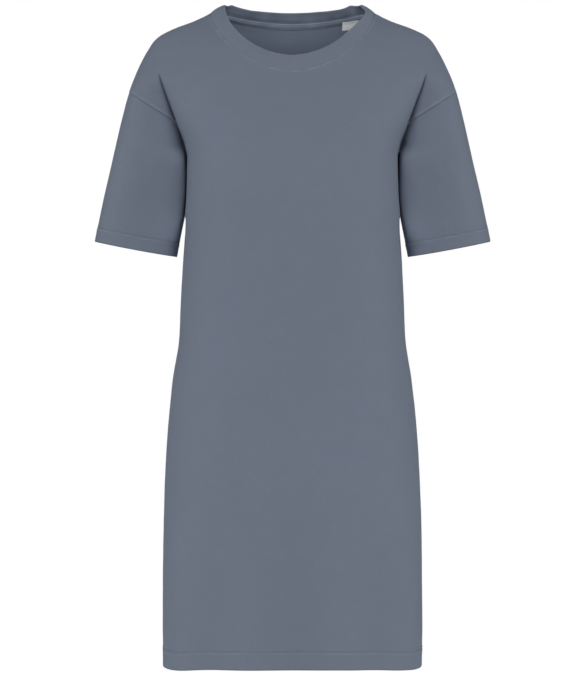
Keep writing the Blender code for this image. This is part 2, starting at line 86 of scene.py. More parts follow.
# level sections of the body: half its width, its depths from y = 0, y at the side, squareness
bodySections = table(
    "z half front back side square",
    (-0.9065, 0.1799, 0.1270, 0.1190, 0.0000, 3.1),
    (-0.8380, 0.1812, 0.1265, 0.1205, 0.0000, 3.1),
    (-0.7200, 0.1799, 0.1260, 0.1225, 0.0000, 3.0),
    (-0.6200, 0.1764, 0.1245, 0.1240, 0.0000, 2.9),
    (-0.5187, 0.1673, 0.1210, 0.1165, 0.0000, 2.9),
    (-0.4515, 0.1575, 0.1185, 0.1060, 0.0000, 2.9),
    (-0.3845, 0.1547, 0.1185, 0.0995, -0.0010, 2.9),
    (-0.3170, 0.1503, 0.1215, 0.0990, -0.0030, 2.9),
    (-0.3060, 0.1494, 0.1225, 0.0995, -0.0035, 2.9),
    (-0.2905, 0.1492, 0.1235, 0.1000, -0.0040, 2.9),
    (-0.2835, 0.1503, 0.1238, 0.1005, -0.0040, 2.9),
    (-0.2720, 0.1494, 0.1243, 0.1015, -0.0040, 2.95),
    (-0.2475, 0.1479, 0.1250, 0.1030, -0.0040, 3.0),
    (-0.2200, 0.1475, 0.1225, 0.1050, 0.0040, 3.1),
    (-0.2000, 0.1477, 0.1190, 0.1055, 0.0100, 3.2),
    (-0.1600, 0.1477, 0.1085, 0.1055, 0.0080, 3.3),
    (-0.1200, 0.1477, 0.0935, 0.1030, 0.0040, 3.1),
    (-0.0864, 0.1477, 0.0780, 0.0980, 0.0010, 2.7),
    (-0.0565, 0.1477, 0.0633, 0.0895, 0.0000, 2.3),
    (-0.0300, 0.1477, 0.0431, 0.0760, 0.0000, 2.1),
    (-0.0155, 0.1477, 0.0310, 0.0655, 0.0000, 2.1),
    (-0.0050, 0.1477, 0.0215, 0.0540, 0.0000, 2.1),
    (0.0000, 0.1477, 0.0160, 0.0330, 0.0000, 2.0),
)

# shoulder and sleeve outline from the front
outlineSections = table(
    "z half",
    (0.0000, 0.1154),
    (-0.0091, 0.1334),
    (-0.0147, 0.1471),
    (-0.0203, 0.1628),
    (-0.0259, 0.1754),
    (-0.0315, 0.1856),
    (-0.0371, 0.1923),
    (-0.0427, 0.1968),
    (-0.0539, 0.2038),
    (-0.0651, 0.2102),
    (-0.0931, 0.2226),
    (-0.1155, 0.2305),
    (-0.1491, 0.2396),
    (-0.2051, 0.2524),
    (-0.2611, 0.2653),
    (-0.3195, 0.2767),
    (-0.3600, 0.2840),
)

# level sections of a sleeve: its side next to the body, half depth, middle, tuck of its inner edge
sleeveSections = table(
    "z inner depth middle tuck",
    (-0.0390, 0.1330, 0.0380, 0.0000, 0.0000),
    (-0.0864, 0.1370, 0.0494, 0.0010, 0.0000),
    (-0.1200, 0.1395, 0.0541, 0.0040, 0.0000),
    (-0.1600, 0.1430, 0.0565, 0.0080, 0.0000),
    (-0.2000, 0.1477, 0.0570, 0.0100, 0.0000),
    (-0.2080, 0.1483, 0.0570, 0.0103, 0.0025),
    (-0.2250, 0.1480, 0.0567, 0.0107, 0.0100),
    (-0.2475, 0.1479, 0.0560, 0.0110, 0.0145),
    (-0.2680, 0.1493, 0.0551, 0.0110, 0.0150),
    (-0.2835, 0.1513, 0.0551, 0.0108, 0.0125),
    (-0.3005, 0.1546, 0.0546, 0.0103, 0.0090),
    (-0.3408, 0.1623, 0.0532, 0.0090, 0.0040),
    (-0.3700, 0.1680, 0.0532, 0.0090, 0.0040),
)

# the armpit crease: the slot under the body's edge, then the hollow beside it, with their widths
creaseSections = table(
    "z half slot narrow hollow spread edge",
    (-0.3300, 0.1511, 0.0000, 0.0012, 0.0000, 0.0060, 0.0000),
    (-0.2900, 0.1492, 0.0000, 0.0012, 0.0000, 0.0060, 0.0030),
    (-0.2475, 0.1479, 0.0000, 0.0012, 0.0000, 0.0060, 0.0045),
    (-0.2200, 0.1475, 0.0000, 0.0012, 0.0000, 0.0060, 0.0045),
    (-0.2060, 0.1477, 0.0000, 0.0012, 0.0000, 0.0060, 0.0045),
    (-0.2000, 0.1477, 0.0030, 0.0012, 0.0020, 0.0060, 0.0045),
    (-0.1810, 0.1512, 0.0080, 0.0015, 0.0070, 0.0100, 0.0050),
    (-0.1580, 0.1592, 0.0100, 0.0014, 0.0090, 0.0100, 0.0070),
    (-0.1220, 0.1723, 0.0095, 0.0011, 0.0056, 0.0068, 0.0070),
    (-0.1050, 0.1787, 0.0085, 0.0009, 0.0030, 0.0042, 0.0060),
    (-0.0955, 0.1821, 0.0075, 0.0008, 0.0010, 0.0026, 0.0040),
    (-0.0915, 0.1836, 0.0055, 0.0007, 0.0000, 0.0020, 0.0025),
    (-0.0885, 0.1845, 0.0000, 0.0008, 0.0000, 0.0020, 0.0006),
    (-0.0870, 0.1848, 0.0000, 0.0008, 0.0000, 0.0020, 0.0000),
    (-0.0600, 0.1895, 0.0000, 0.0008, 0.0000, 0.0020, 0.0000),
    (-0.0390, 0.1938, 0.0000, 0.0008, 0.0000, 0.0020, 0.0000),
)
crease = {
    "full": -0.118,
    "gone": -0.068,
    "top": -0.0390,
    "armholeTop": -0.1113,
    "armholeEase": 0.75,
    "sag": 0.0015,
    "slotStart": 0.0004,    # distances over which the slot, the hollow and the body's edge begin
    "hollowStart": 0.0007,
    "edgeStart": 0.0008,
    "edgeSpread": 0.018,
    "deepest": 0.8,         # share of the sleeve's half depth
}

sleeve = {
    "cuffOuter": -0.3195,
    "cuffInner": -0.3408,
    "cuffDip": 0.004,
    "lean": 0.983,          # height gained for each metre along the slanting cloth
    "square": 3.2,
    "pressed": 10.0,        # squareness of the front where it lies against the body
    "pressedOver": 0.5,
    "contact": -0.182,      # it lies against the body below this height
    "contactOver": 0.032,
    "free": -0.330,         # and hangs free below this one
    "freeOver": 0.040,
    "rows": 46,
    "rowEase": 1.4,
    "hemScale": 0.86,       # its hem's rows against those of the bottom hem
    "billow": 1.1,          # and its waves against the body's
    "turnUp": 0.0232,
    "stitchUp": 0.0200,
}

# soft vertical folds of the skirt, with painted shade laid in their troughs
skirtFolds = table(
    "face x width depth top",
    (front, -0.118, 0.036, 0.0050, -0.600),
    (front, 0.004, 0.042, 0.0060, -0.580),
    (front, 0.124, 0.034, 0.0050, -0.610),
    (back, -0.070, 0.040, 0.0065, -0.540),
    (back, 0.078, 0.038, 0.0060, -0.560),
)
# the last value is how strongly painted shade darkens each trough, by its depth
foldGrowth = {"widthAtTop": 0.7, "widthAtHem": 1.2, "shade": 20}

# how fine each unevenness of the cloth is: the scale of its noise, and a seed where it runs round
grain = {
    "hemWaver": (22, 5),
    "stitching": (26, 7),
    "stitchingPale": (60, 2),
    "crinkle": (95, 50),        # round and up
    "pucker": 120,
    "neckPatches": 90,
    "panelPatches": 70,
    "sleevePatches": 85,
    "ribPatches": 60,
    "ribWaver": 55,
    "tapePatches": 80,
    "tapeWaver": 90,
}

neck = {
    "half": 0.1154,
    "frontDrop": 0.0864,
    "backDrop": 0.0114,
    "frontAcross": 1.8,
    "frontDown": 1.5,
    "backRound": 1.6,
}


def curveOf(rows, name):
    # a smooth curve of height through one column of a table
    rows = sorted(rows, key=lambda row: row["z"])
    heights = [row["z"] for row in rows]
    values = [row[name] for row in rows]
    steps = [b - a for a, b in zip(heights, heights[1:])]
    slopes = [(b - a) / step for a, b, step in zip(values, values[1:], steps)]
    tangents = [slopes[0]]
    for a, b in zip(slopes, slopes[1:]):
        tangents.append(2 * a * b / (a + b) if a * b > 0 else 0.0)
    tangents.append(slopes[-1])

    def read(z):
        z = min(max(z, heights[0]), heights[-1])
        i = min(max(bisect_left(heights, z), 1), len(heights) - 1)
        t = (z - heights[i - 1]) / steps[i - 1]
        bend = tangents[i - 1] * (t - 2 * t * t + t ** 3) + tangents[i] * (t ** 3 - t * t)
        rise = (values[i] - values[i - 1]) * (3 * t * t - 2 * t ** 3)
        return values[i - 1] + rise + steps[i - 1] * bend

    return read


def curvesOf(rows):
    return [curveOf(rows, name) for name in rows[0] if name != "z"]


bodyHalf, bodyFront, bodyBack, bodySide, bodySquare = curvesOf(bodySections)
[outlineHalf] = curvesOf(outlineSections)
sleeveInner, sleeveDepth, sleeveMiddle, sleeveTuck = curvesOf(sleeveSections)
creaseHalf, creaseSlot, creaseNarrow, creaseHollow, creaseSpread, creaseEdge = curvesOf(creaseSections)


def smooth(t):
    t = min(max(t, 0.0), 1.0)
    return t * t * (3 - 2 * t)


def mix(a, b, t):
    return a + (b - a) * t


def bell(distance, width):
    return exp(-((distance / width) ** 2))


def arch(share, square):
    # a unit superellipse's height
    share = abs(share)
    return 0.0 if share > 0.9999 else (1 - share ** square) ** (1 / square)


def wander(p, scale, seed):
    # noise that changes round the dress but not up it
    return noise.noise(Vector((p.x * scale, p.y * scale, seed)))


def touching(z):
    # 1 at heights where the sleeve has come down to the body
    return smooth((sleeve["contact"] - z) / sleeve["contactOver"])


def sleeveY(x, z, face):
    inner, outer = sleeveInner(z), outlineHalf(z)
    share = max(-1.0, 2 * (abs(x) - inner) / (outer - inner) - 1)
    middle = sleeveMiddle(z) + sleeveTuck(z) * ((1 - share) / 2) ** 2
    pressed = smooth(-share / sleeve["pressedOver"]) * touching(z) * (face == front)
    pressed *= smooth((z - sleeve["free"]) / sleeve["freeOver"])
    square = mix(sleeve["square"], sleeve["pressed"], pressed)
    return middle + face * sleeveDepth(z) * arch(share, square)


def bodyDepth(z, face):
    side = bodySide(z)
    return bodyFront(z) + side if face == front else bodyBack(z) - side


def creaseShare(z):
    return smooth((crease["gone"] - z) / (crease["gone"] - crease["full"]))


def shoulderY(x, z, face):
    rounded = arch(x / outlineHalf(z), bodySquare(z))
    return bodySide(z) + face * bodyDepth(z, face) * rounded


def capY(x, z, face):
    return mix(shoulderY(x, z, face), sleeveY(x, z, face), creaseShare(z))


def foldDepth(x, z, face):
    deep = 0.0
    for fold in skirtFolds:
        if fold["face"] == face and z < fold["top"]:
            down = smooth((fold["top"] - z) / (fold["top"] - dress["hem"]))
            spread = fold["width"] * mix(foldGrowth["widthAtTop"], foldGrowth["widthAtHem"], down)
            deep += fold["depth"] * down * bell(x - fold["x"], spread)
    return deep


def bodyY(x, z, face):
    side, square, depth = bodySide(z), bodySquare(z), bodyDepth(z, face)
    if z <= dress["underarm"]:
        rounded = arch(x / bodyHalf(z), square)
        return side + face * rounded * (depth - foldDepth(x, z, face))
    edge = creaseHalf(z)
    if abs(x) > edge:
        return capY(x, z, face)
    reach = abs(sleeveY(edge, z, face) - side) / depth
    chest = side + face * depth * arch(x / edge * arch(reach, square), square)
    return mix(shoulderY(x, z, face), chest, creaseShare(z))


def neckLine(turn, face):
    # from the centre to the shoulder in a quarter turn
    if face == back:
        return Vector((neck["half"] * sin(turn), -neck["backDrop"] * cos(turn) ** (2 * neck["backRound"])))
    across = sin(turn) ** (2 / neck["frontAcross"])
    down = abs(cos(turn)) ** (2 / neck["frontDown"])
    return Vector((neck["half"] * across, -neck["frontDrop"] * down))


def shoulderLine(z):
    return Vector((outlineHalf(z), z))


def yokeShare(row):
    return 1 - (1 - row / dress["yokeRows"]) ** dress["yokeEase"]


def creaseLine(row):
    if row == dress["yokeRows"]:
        return shoulderLine(crease["top"])
    z = mix(dress["underarm"], crease["top"], yokeShare(row))
    return Vector((creaseHalf(z), z))


def armholeLine(row):
    rows, start = dress["yokeRows"], dress["creaseRows"]
    share = ((row - start) / (rows - start)) ** crease["armholeEase"]
    line = creaseLine(start).lerp(shoulderLine(crease["armholeTop"]), share)
    return line - Vector((0, crease["sag"] * 4 * share * (1 - share)))


def hollowed(point, face):
    # the body's cloth stands out up to the armpit crease, and beyond it the sleeve's sinks
    z = point.z
    beside = abs(point.x) - creaseHalf(z)
    if beside > 0:
        slot = creaseSlot(z) * (1 - exp(-beside / crease["slotStart"])) * exp(-beside / creaseNarrow(z))
        hollow = creaseHollow(z) * (1 - exp(-beside / crease["hollowStart"])) * exp(-beside / creaseSpread(z))
        point.y -= face * min(slot + hollow, abs(point.y - sleeveMiddle(z)) * crease["deepest"])
    else:
        edge = (1 - exp(beside / crease["edgeStart"])) * exp(beside / crease["edgeSpread"])
        point.y += face * creaseEdge(z) * edge
    return point


def onBody(flat, face, hand=left):
    x = hand * flat.x
    return Vector((x, bodyY(x, flat.y, face), flat.y))


def onCap(flat, face, hand=left):
    x = hand * flat.x
    return Vector((x, capY(x, flat.y, face), flat.y))


def lengthOf(path):
    return sum((after - before).length for before, after in zip(path, path[1:]))


def spaced(path, count):
    # count + 1 points spaced evenly along a path
    ends = [0.0]
    for a, b in zip(path, path[1:]):
        ends.append(ends[-1] + (b - a).length)
    points, i = [], 0
    for k in range(count + 1):
        along = ends[-1] * k / count
        while i < len(path) - 2 and ends[i + 1] < along:
            i += 1
        points.append(path[i].lerp(path[i + 1], (along - ends[i]) / (ends[i + 1] - ends[i])))
    return points


def through(points, shares, before=None, after=None):
    # a smooth line through evenly spaced points, read at those shares of it
    first = before if before is not None else points[0] * 2 - points[1]
    final = after if after is not None else points[-1] * 2 - points[-2]
    points = [first] + points + [final]
    last = len(points) - 3
    line = []
    for share in shares:
        i = min(int(share * last), last - 1)
        t = share * last - i
        a, b, c, d = points[i : i + 4]
        line.append(b + (c - a) * (t / 2) + (a * 2 - b * 5 + c * 4 - d) * (t * t / 2)
                    + (b * 3 - a - c * 3 + d) * (t ** 3 / 2))
    return line


# panels: guide rows of x and z from the centre out, then finished rows of points across both halves

def levelFlats(z, face):
    half = bodyHalf(z)
    turns = [pi / 2 * k / dress["samples"] for k in range(dress["samples"] + 1)]
    path = [onBody(Vector((half * sin(turn), z)), face) for turn in turns]
    return [Vector((p.x, p.z)) for p in spaced(path, dress["bodyColumns"])]


def topFlats(face):
    shares = [k / dress["samples"] for k in range(dress["samples"] + 1)]
    neckPart = spaced([onBody(neckLine(pi / 2 * s, face), face) for s in shares], dress["neckColumns"])
    slope = [onBody(shoulderLine(crease["top"] * s), face) for s in shares]
    slope = spaced(slope, dress["bodyColumns"] - dress["neckColumns"])
    return [Vector((p.x, p.z)) for p in neckPart] + [shoulderLine(p.z) for p in slope[1:]]


def yokeFlats(row, bottom, top):
    edge = creaseLine(row)
    pull = edge - bottom[-1].lerp(top[-1], yokeShare(row))
    columns, caps, rows, start = (dress[k] for k in ("bodyColumns", "capColumns", "yokeRows", "creaseRows"))
    flats = [a.lerp(b, yokeShare(row)) + pull * (k / columns) for k, (a, b) in enumerate(zip(bottom, top))]
    if row <= start:
        return flats + [edge] * caps
    creaseTop, seamEnd = creaseLine(rows), shoulderLine(crease["armholeTop"])
    for k in range(1, caps + 1):
        s = k / caps
        rim = shoulderLine(mix(creaseTop.y, crease["armholeTop"], s))
        bow = (rim - creaseTop.lerp(seamEnd, s)) * (row - start) / (rows - start)
        flats.append(rim if row == rows else edge.lerp(armholeLine(row), s) + bow)
    return flats


# heights of the hem's rows above its bottom edge, closest at the edge and at the stitching
hemSteps = [0, 0.0003, 0.0008, 0.0015, 0.0028, 0.0055, 0.0095, 0.0140, 0.0180, 0.0210, 0.0228, 0.0240,
            0.0249, 0.0258, 0.0268, 0.0280, 0.0292, 0.0310, 0.0340]


def panelFlats(face):
    turned, last = dress["hem"] + hemSteps[-1], dress["underarm"] - dress["lastRow"]
    heights = [dress["hem"] + step for step in hemSteps]
    for k in range(1, dress["bodyRows"] + 1):
        heights.append(mix(turned, last, 1 - (1 - k / dress["bodyRows"]) ** dress["rowEase"]))
    heights += [dress["underarm"] - step for step in dress["underarmSteps"]]
    levels = [levelFlats(z, face) for z in heights]
    rows = [level + [level[-1]] * dress["capColumns"] for level in levels]
    top = topFlats(face)
    return rows + [yokeFlats(row, levels[-1], top) for row in range(1, dress["yokeRows"] + 1)]


def hung(points):
    # the hem's sides hang a little lower than its front and back
    for point in points:
        share = abs(point.x) / bodyHalf(point.z)
        up = (point.z - dress["hem"]) / dress["hemDipUp"]
        if up < 1:
            dip = dress["hemDip"] * smooth((share - dress["hemDipFrom"]) / dress["hemDipOver"])
            point.z += (dress["hemWaver"] * wander(point, *grain["hemWaver"]) - dip) * (1 - smooth(up))
    return points


def guidePoints(flats, face):
    return [onBody(flat, face, right) for flat in flats[:0:-1]] + [onBody(flat, face) for flat in flats]


def finePoints(guides, others):
    # finished rows across: a corner stays where the neckline ends and along the crease
    body, cap, neckSpan = dress["bodyColumns"], dress["capColumns"], dress["neckColumns"]
    middle = body + cap
    levels = len(guides) - dress["yokeRows"]
    neckShares = [k / dress["neckFine"] for k in range(dress["neckFine"] + 1)]
    fine, ease = dress["shoulderFine"], dress["shoulderEase"]
    outShares = [1 - (1 - k / fine) ** ease for k in range(fine + 1)]
    capShares = [0.5 - 0.5 * cos(pi * k / dress["capFine"]) for k in range(dress["capFine"] + 1)]
    rows = []
    for number, guide in enumerate(guides):
        corner = guide[middle + neckSpan]
        sharpNeck = exp(-(guides[-1][middle + neckSpan] - corner).length / dress["neckCorner"])
        sharpCrease = creaseShare(guide[middle + body].z)
        row = {}
        for hand in (left, right):
            def at(k):
                return guide[middle + hand * k]
            neckOut = at(neckSpan) * 2 - at(neckSpan - 1)
            neckIn = at(neckSpan) * 2 - at(neckSpan + 1)
            row["out", hand] = at(neckSpan + 1).lerp(neckOut, sharpNeck)
            before = at(neckSpan - 1).lerp(neckIn, sharpNeck)
            plain = at(body) * 2 - at(body - 1)
            if number < levels:
                after = others[number][middle + hand * (body - 1)]
            elif number - levels < dress["creaseRows"]:
                after = plain
            else:
                after = at(body + 1).lerp(plain, sharpCrease)
            span = [at(k) for k in range(neckSpan, body + 1)]
            row["shoulder", hand] = through(span, outShares, before, after)
            if number - levels < dress["creaseRows"]:
                row["cap", hand] = [at(body).copy() for k in capShares]
            else:
                inward = at(body - 1).lerp(at(body) * 2 - at(body + 1), sharpCrease)
                row["cap", hand] = through([at(k) for k in range(body, middle + 1)], capShares, inward)
        span = [guide[middle + k] for k in range(-neckSpan, neckSpan + 1)]
        across = through(span, neckShares, row["out", right], row["out", left])
        outer = [row["shoulder", hand] + row["cap", hand][1:] for hand in (right, left)]
        rows.append(outer[0][:0:-1] + across + outer[1][1:])
    return rows


# sleeves: rows of x and z from the shoulder round to the underarm

def cuffFlats(up, face):
    outer = shoulderLine(sleeve["cuffOuter"] + up * sleeve["lean"])
    innerZ = sleeve["cuffInner"] + up * sleeve["lean"]
    inner = Vector((sleeveInner(innerZ), innerZ))
    path = []
    for k in range(dress["samples"] + 1):
        share = cos(pi * k / dress["samples"])
        flat = inner.lerp(outer, (1 + share) / 2)
        flat.y += face * sleeve["cuffDip"] / 2 * arch(share, 2)
        path.append(onCap(flat, face))
    flats = [Vector((p.x, p.z)) for p in spaced(path, dress["yokeRows"])]
    return [outer] + flats[1:-1] + [inner]


def sleeveFlats(start, face):
    end = cuffFlats(hemSteps[-1] * sleeve["hemScale"], face)
    rows = [start]
    for row in range(1, sleeve["rows"] + 1):
        t = (row / sleeve["rows"]) ** sleeve["rowEase"]
        line = [a.lerp(b, t) for a, b in zip(start, end)]
        outer = shoulderLine(line[0].y)
        inner = Vector((sleeveInner(line[-1].y), line[-1].y))
        pullOut, pullIn = outer - line[0], inner - line[-1]
        shares = [k / dress["yokeRows"] for k in range(dress["yokeRows"] + 1)]
        rows.append([p + pullOut * (1 - s) + pullIn * s for p, s in zip(line, shares)])
    return rows + [cuffFlats(step * sleeve["hemScale"], face) for step in hemSteps[-2::-1]]


def layGrid(bm, rows, piece):
    # a grid whose points are moved onto the rows; u and v hold metres across and along
    across, up = len(rows[0]) - 1, len(rows) - 1
    made = bmesh.ops.create_grid(bm, x_segments=across, y_segments=up, size=0.5)["verts"]
    wide = [[0.0] for row in rows]
    for line, row in zip(wide, rows):
        for a, b in zip(row, row[1:]):
            line.append(line[-1] + (b - a).length)
    middle = across // 2
    tall = [0.0]
    for a, b in zip(rows, rows[1:]):
        tall.append(tall[-1] + (b[middle] - a[middle]).length)
    uAlong, vAlong, column = (bm.verts.layers.float[name] for name in ("u", "v", "column"))
    for vert in made:
        i, j = round((vert.co.x + 0.5) * across), round((vert.co.y + 0.5) * up)
        vert.co = rows[j][i]
        vert[uAlong] = wide[j][i] - wide[j][middle]
        vert[vAlong] = tall[j]
        vert[column] = i
    for face in {face for vert in made for face in vert.link_faces}:
        face.material_index = piece


def openCloth(grids, sample, outside):
    # one layer of cloth laid on rows of points, with its sample face looking outside
    bm = bmesh.new()
    for name in ("u", "v", "column", "sunk", "fadeAndPaintedLight", "insideFadeAndLight"):   # the last is the inner face's fade: painted light that makes the inside paler, and on the neckband painted shade too
        bm.verts.layers.float.new(name)
    outward = bm.verts.layers.float_vector.new("outward")
    for piece, rows in enumerate(grids):
        layGrid(bm, rows, piece)
    bmesh.ops.remove_doubles(bm, verts=bm.verts[:], dist=dress["merge"])
    bmesh.ops.recalc_face_normals(bm, faces=bm.faces[:])
    if min(bm.faces, key=sample).normal.dot(outside) < 0:
        bmesh.ops.reverse_faces(bm, faces=bm.faces[:])
    bm.normal_update()
    for vert in bm.verts:
        vert[outward] = vert.normal
    return bm


def forward(face):
    return face.calc_center_median().y


def treeOf(lines, step=0.0004):
    # the points of some lines, close together, to find how far off a place is
    points = []
    for line in lines:
        for a, b in zip(line, line[1:]):
            count = max(1, int((b - a).length / step))
            points += [a.lerp(b, k / count) for k in range(count)]
    tree = KDTree(len(points))
    for k, point in enumerate(points):
        tree.insert(point, k)
    tree.balance()
    return tree


print("dress: guides")
flatRows = {face: panelFlats(face) for face in (front, back)}
guideRows = {face: [guidePoints(row, face) for row in flatRows[face]] for face in (front, back)}
panelRows = {}
for face in (front, back):
    rows = finePoints(guideRows[face], guideRows[-face])
    panelRows[face] = [[hollowed(point, face) for point in hung(row)] for row in rows]
sleeveRows = {}
for hand in (left, right):
    halves = {}
    for face in (front, back):
        start = [row[-1] for row in reversed(flatRows[face][-dress["yokeRows"] - 1 :])]
        rows = [[onCap(flat, face, hand) for flat in row] for row in sleeveFlats(start, face)]
        rows[0] = [onBody(flat, face, hand) for flat in start]
        halves[face] = [[hollowed(point, face) for point in row] for row in rows]
    sleeveRows[hand] = [a[::-1] + b[1:] for a, b in zip(halves[front], halves[back])]

print("dress: shell")
grids = [panelRows[front], panelRows[back], sleeveRows[left], sleeveRows[right]]
shell = openCloth(grids, forward, Vector((0, -1, 0)))

sideColumns = dress["capFine"] + dress["shoulderFine"]
levelCount = len(guideRows[front]) - dress["yokeRows"]
neckRows = {face: panelRows[face][-1][sideColumns : -sideColumns] for face in (front, back)}
armholes = []
for face in (front, back):
    armholes += [[row[end] for row in panelRows[face][levelCount - 1 :]] for end in (0, -1)]
seamTrees = {
    "neck": treeOf(neckRows.values()),
    "shoulder": treeOf([panelRows[back][-1][: sideColumns + 1], panelRows[back][-1][-sideColumns - 1 :]]),
    "armhole": treeOf(armholes),
    "side": treeOf([[row[end] for row in panelRows[front][:levelCount]] for end in (0, -1)]),
    "underarm": treeOf([[row[0] for row in sleeveRows[hand]] for hand in (left, right)]),
    "hem": treeOf([panelRows[face][0] for face in (front, back)]),
    "cuff": treeOf([sleeveRows[hand][-1] for hand in (left, right)]),
}

# relief: soft waves of worn cloth, then what seams and hems do to it

billows = table(
    "across up shift height",
    (8, 3.2, (0, 0, 4), 0.0012),
    (24, 15, (9, 0, 0), 0.0005),
    (70, 60, (0, 3, 0), 0.00016),
)

hem = {
    "reach": 0.05,
    "waver": 0.0005,        # how far the stitching wanders up and down
    "waverFrom": 0.012,
    "rounding": 0.0013,     # radius of the turned edge
    "insideRounding": 1.2,
    "puff": 0.0003,         # between the edge and the stitching
    "puffOver": 0.004,
    "puffDip": 2.2,
    "groove": 0.0006,
    "grooveWide": 0.0009,
    "ridge": 0.0003,        # over the raw edge inside
    "ridgeOver": 0.0012,
    "crinkle": 0.0004,
    "crinkleReach": 0.006,
    "rawEdge": 0.001,
    "pale": 0.24,           # a painted highlight under the stitching, where its groove faces up, and painted shade in the groove and at the folded edge
    "highlightBelow": 0.0022,
    "highlightWide": 0.0011,
    "paintedShade": 0.30,
    "paintedShadeWide": 0.0008,
    "edgePaintedShade": 0.4,
    "edgePaintedShadeWide": 0.0012,
    "patches": (0.6, 0.8),
}

seam = {
    "reach": 0.03,
    "pucker": 0.0004,
    "puckerReach": 0.007,
    "armholePucker": 1.4,
    "armholeReach": 0.009,
    "shoulderPucker": 0.6,
    "sidePucker": 0.7,
    "allowance": 0.0006,       # thickness of the edges sewn in behind a seam
    "allowanceDeep": 0.008,
    "armholeDeep": 0.0075,
    "allowanceOver": 0.001,
    "outsideOver": 0.002,
    "neckRidge": dict(height=0.0003, at=0.0014, wide=0.0012),
    "neckPale": dict(height=0.15, at=0.0012, wide=0.0015),
    "neckPatches": 0.22,
    "armholeStep": 0.0002,
    "armholeRidge": dict(height=0.0002, at=0.0022, wide=0.0014),
    "armholePale": dict(height=0.20, at=0.0022, wide=0.0020),
    "armholePatches": (0.7, 0.9),
    "sleeveRise": 0.0002,
    "sleeveSink": 0.0008,      # the sleeve's edge of that seam sinks towards the crease
    "sinkFrom": -0.098,
    "sinkOver": 0.04,
    "sinkWide": 0.0020,
    # painted shade in the sleeve's edge of the armhole seam, where it sinks towards the crease
    "sinkPaintedShade": dict(height=-0.40, at=0.0006, wide=0.0010),
    "shoulderGroove": dict(height=-0.0002, at=0.0, wide=0.0008),
    "shoulderRidge": dict(height=0.0002, at=0.0022, wide=0.0016),
    "shoulderStep": 0.0002,
    "sideGroove": dict(height=-0.0008, at=0.0, wide=0.0008),
    "underarmGroove": dict(height=-0.0007, at=0.0, wide=0.0008),
    "sideStep": 0.0004,
    "sidePale": dict(height=0.22, at=0.0012, wide=0.0012),     # also the shoulder's
    "underarmPale": dict(height=0.18, at=0.0012, wide=0.0012),
    "pressedLift": 0.0004,
    "pressedReach": 0.006,
    "pressedTop": 0.006,
    "pressedEnd": -0.288,
    "pressedOver": 0.012,
}
innerSleeveLight = {"pale": 0.7, "reach": 0.010, "middleOver": 0.010}   # painted light on the front of a sleeve beside the body, where the body shades it


def away(place, name):
    return seamTrees[name].find(place)[2]


def seamLine(d, look):
    return look["height"] * bell(d - look["at"], look["wide"])


def stepUp(d, deep, over):
    return smooth((deep - d) / over)


def billow(p):
    lift = 0.0
    for wave in billows:
        place = Vector((p.x * wave["across"], p.y * wave["across"], p.z * wave["up"]))
        lift += wave["height"] * noise.noise(place + Vector(wave["shift"]))
    return lift


def pucker(p, d, reach=seam["puckerReach"]):
    return seam["pucker"] * noise.noise(p * grain["pucker"]) * exp(-d / reach)


def turnedHem(p, d, depth, stitched):
    # lift, extra thickness inside and fade of a turned-up, stitched hem; that fade is a painted highlight
    # under the stitching and painted shade in it and at the folded edge
    d += hem["waver"] * wander(p, *grain["stitching"]) * smooth(d / hem["waverFrom"])
    rounding = max(0.0, 1 - d / hem["rounding"])
    off = d - stitched
    lift = -hem["rounding"] * (1 - (1 - rounding ** 2) ** 0.5)
    if off < 0:
        dip = bell(d - stitched / 2, stitched / hem["puffDip"])
        lift += hem["puff"] * (1 - dip) * smooth(d / hem["puffOver"])
    lift -= hem["groove"] * bell(off, hem["grooveWide"])
    lift += hem["ridge"] * stepUp(d, depth, hem["ridgeOver"])
    around, up = grain["crinkle"]
    crinkle = noise.noise(Vector((p.x * around, p.y * around, p.z * up)))
    lift += hem["crinkle"] * crinkle * bell(off, hem["crinkleReach"])
    inside = dress["cloth"] * (stepUp(d, depth, hem["rawEdge"]) - hem["insideRounding"] * rounding ** 2)
    # painted highlight under the stitching, on its groove's lower side, and painted shade in the groove
    pale = hem["pale"] * bell(off + hem["highlightBelow"], hem["highlightWide"])
    pale -= hem["paintedShade"] * bell(off, hem["paintedShadeWide"])
    low, patches = hem["patches"]
    pale *= low + patches * wander(p, *grain["stitchingPale"])
    # painted shade along the folded bottom edge
    fadeAndPaintedLight = pale - hem["edgePaintedShade"] * bell(d, hem["edgePaintedShadeWide"])
    return lift, inside, fadeAndPaintedLight


def joined(p):
    # how far the side seam and the underarm seam press together just under the armpit
    up = smooth((p.z - seam["pressedEnd"]) / seam["pressedOver"])
    return up * smooth((dress["underarm"] + seam["pressedTop"] - p.z) / seam["pressedTop"])


def sideSeam(p, d, lift, groove, pale):
    # lift, extra thickness inside and fade beside the side seam or the underarm seam
    loose = 1 - joined(p)
    lift = mix(lift, seam["pressedLift"], joined(p) * exp(-d / seam["pressedReach"]))
    lift += loose * (pucker(p, d) * seam["sidePucker"] + seamLine(d, groove))
    inside = seam["allowance"] * stepUp(d, seam["allowanceDeep"], seam["allowanceOver"])
    return lift, inside, loose * seamLine(d, pale)


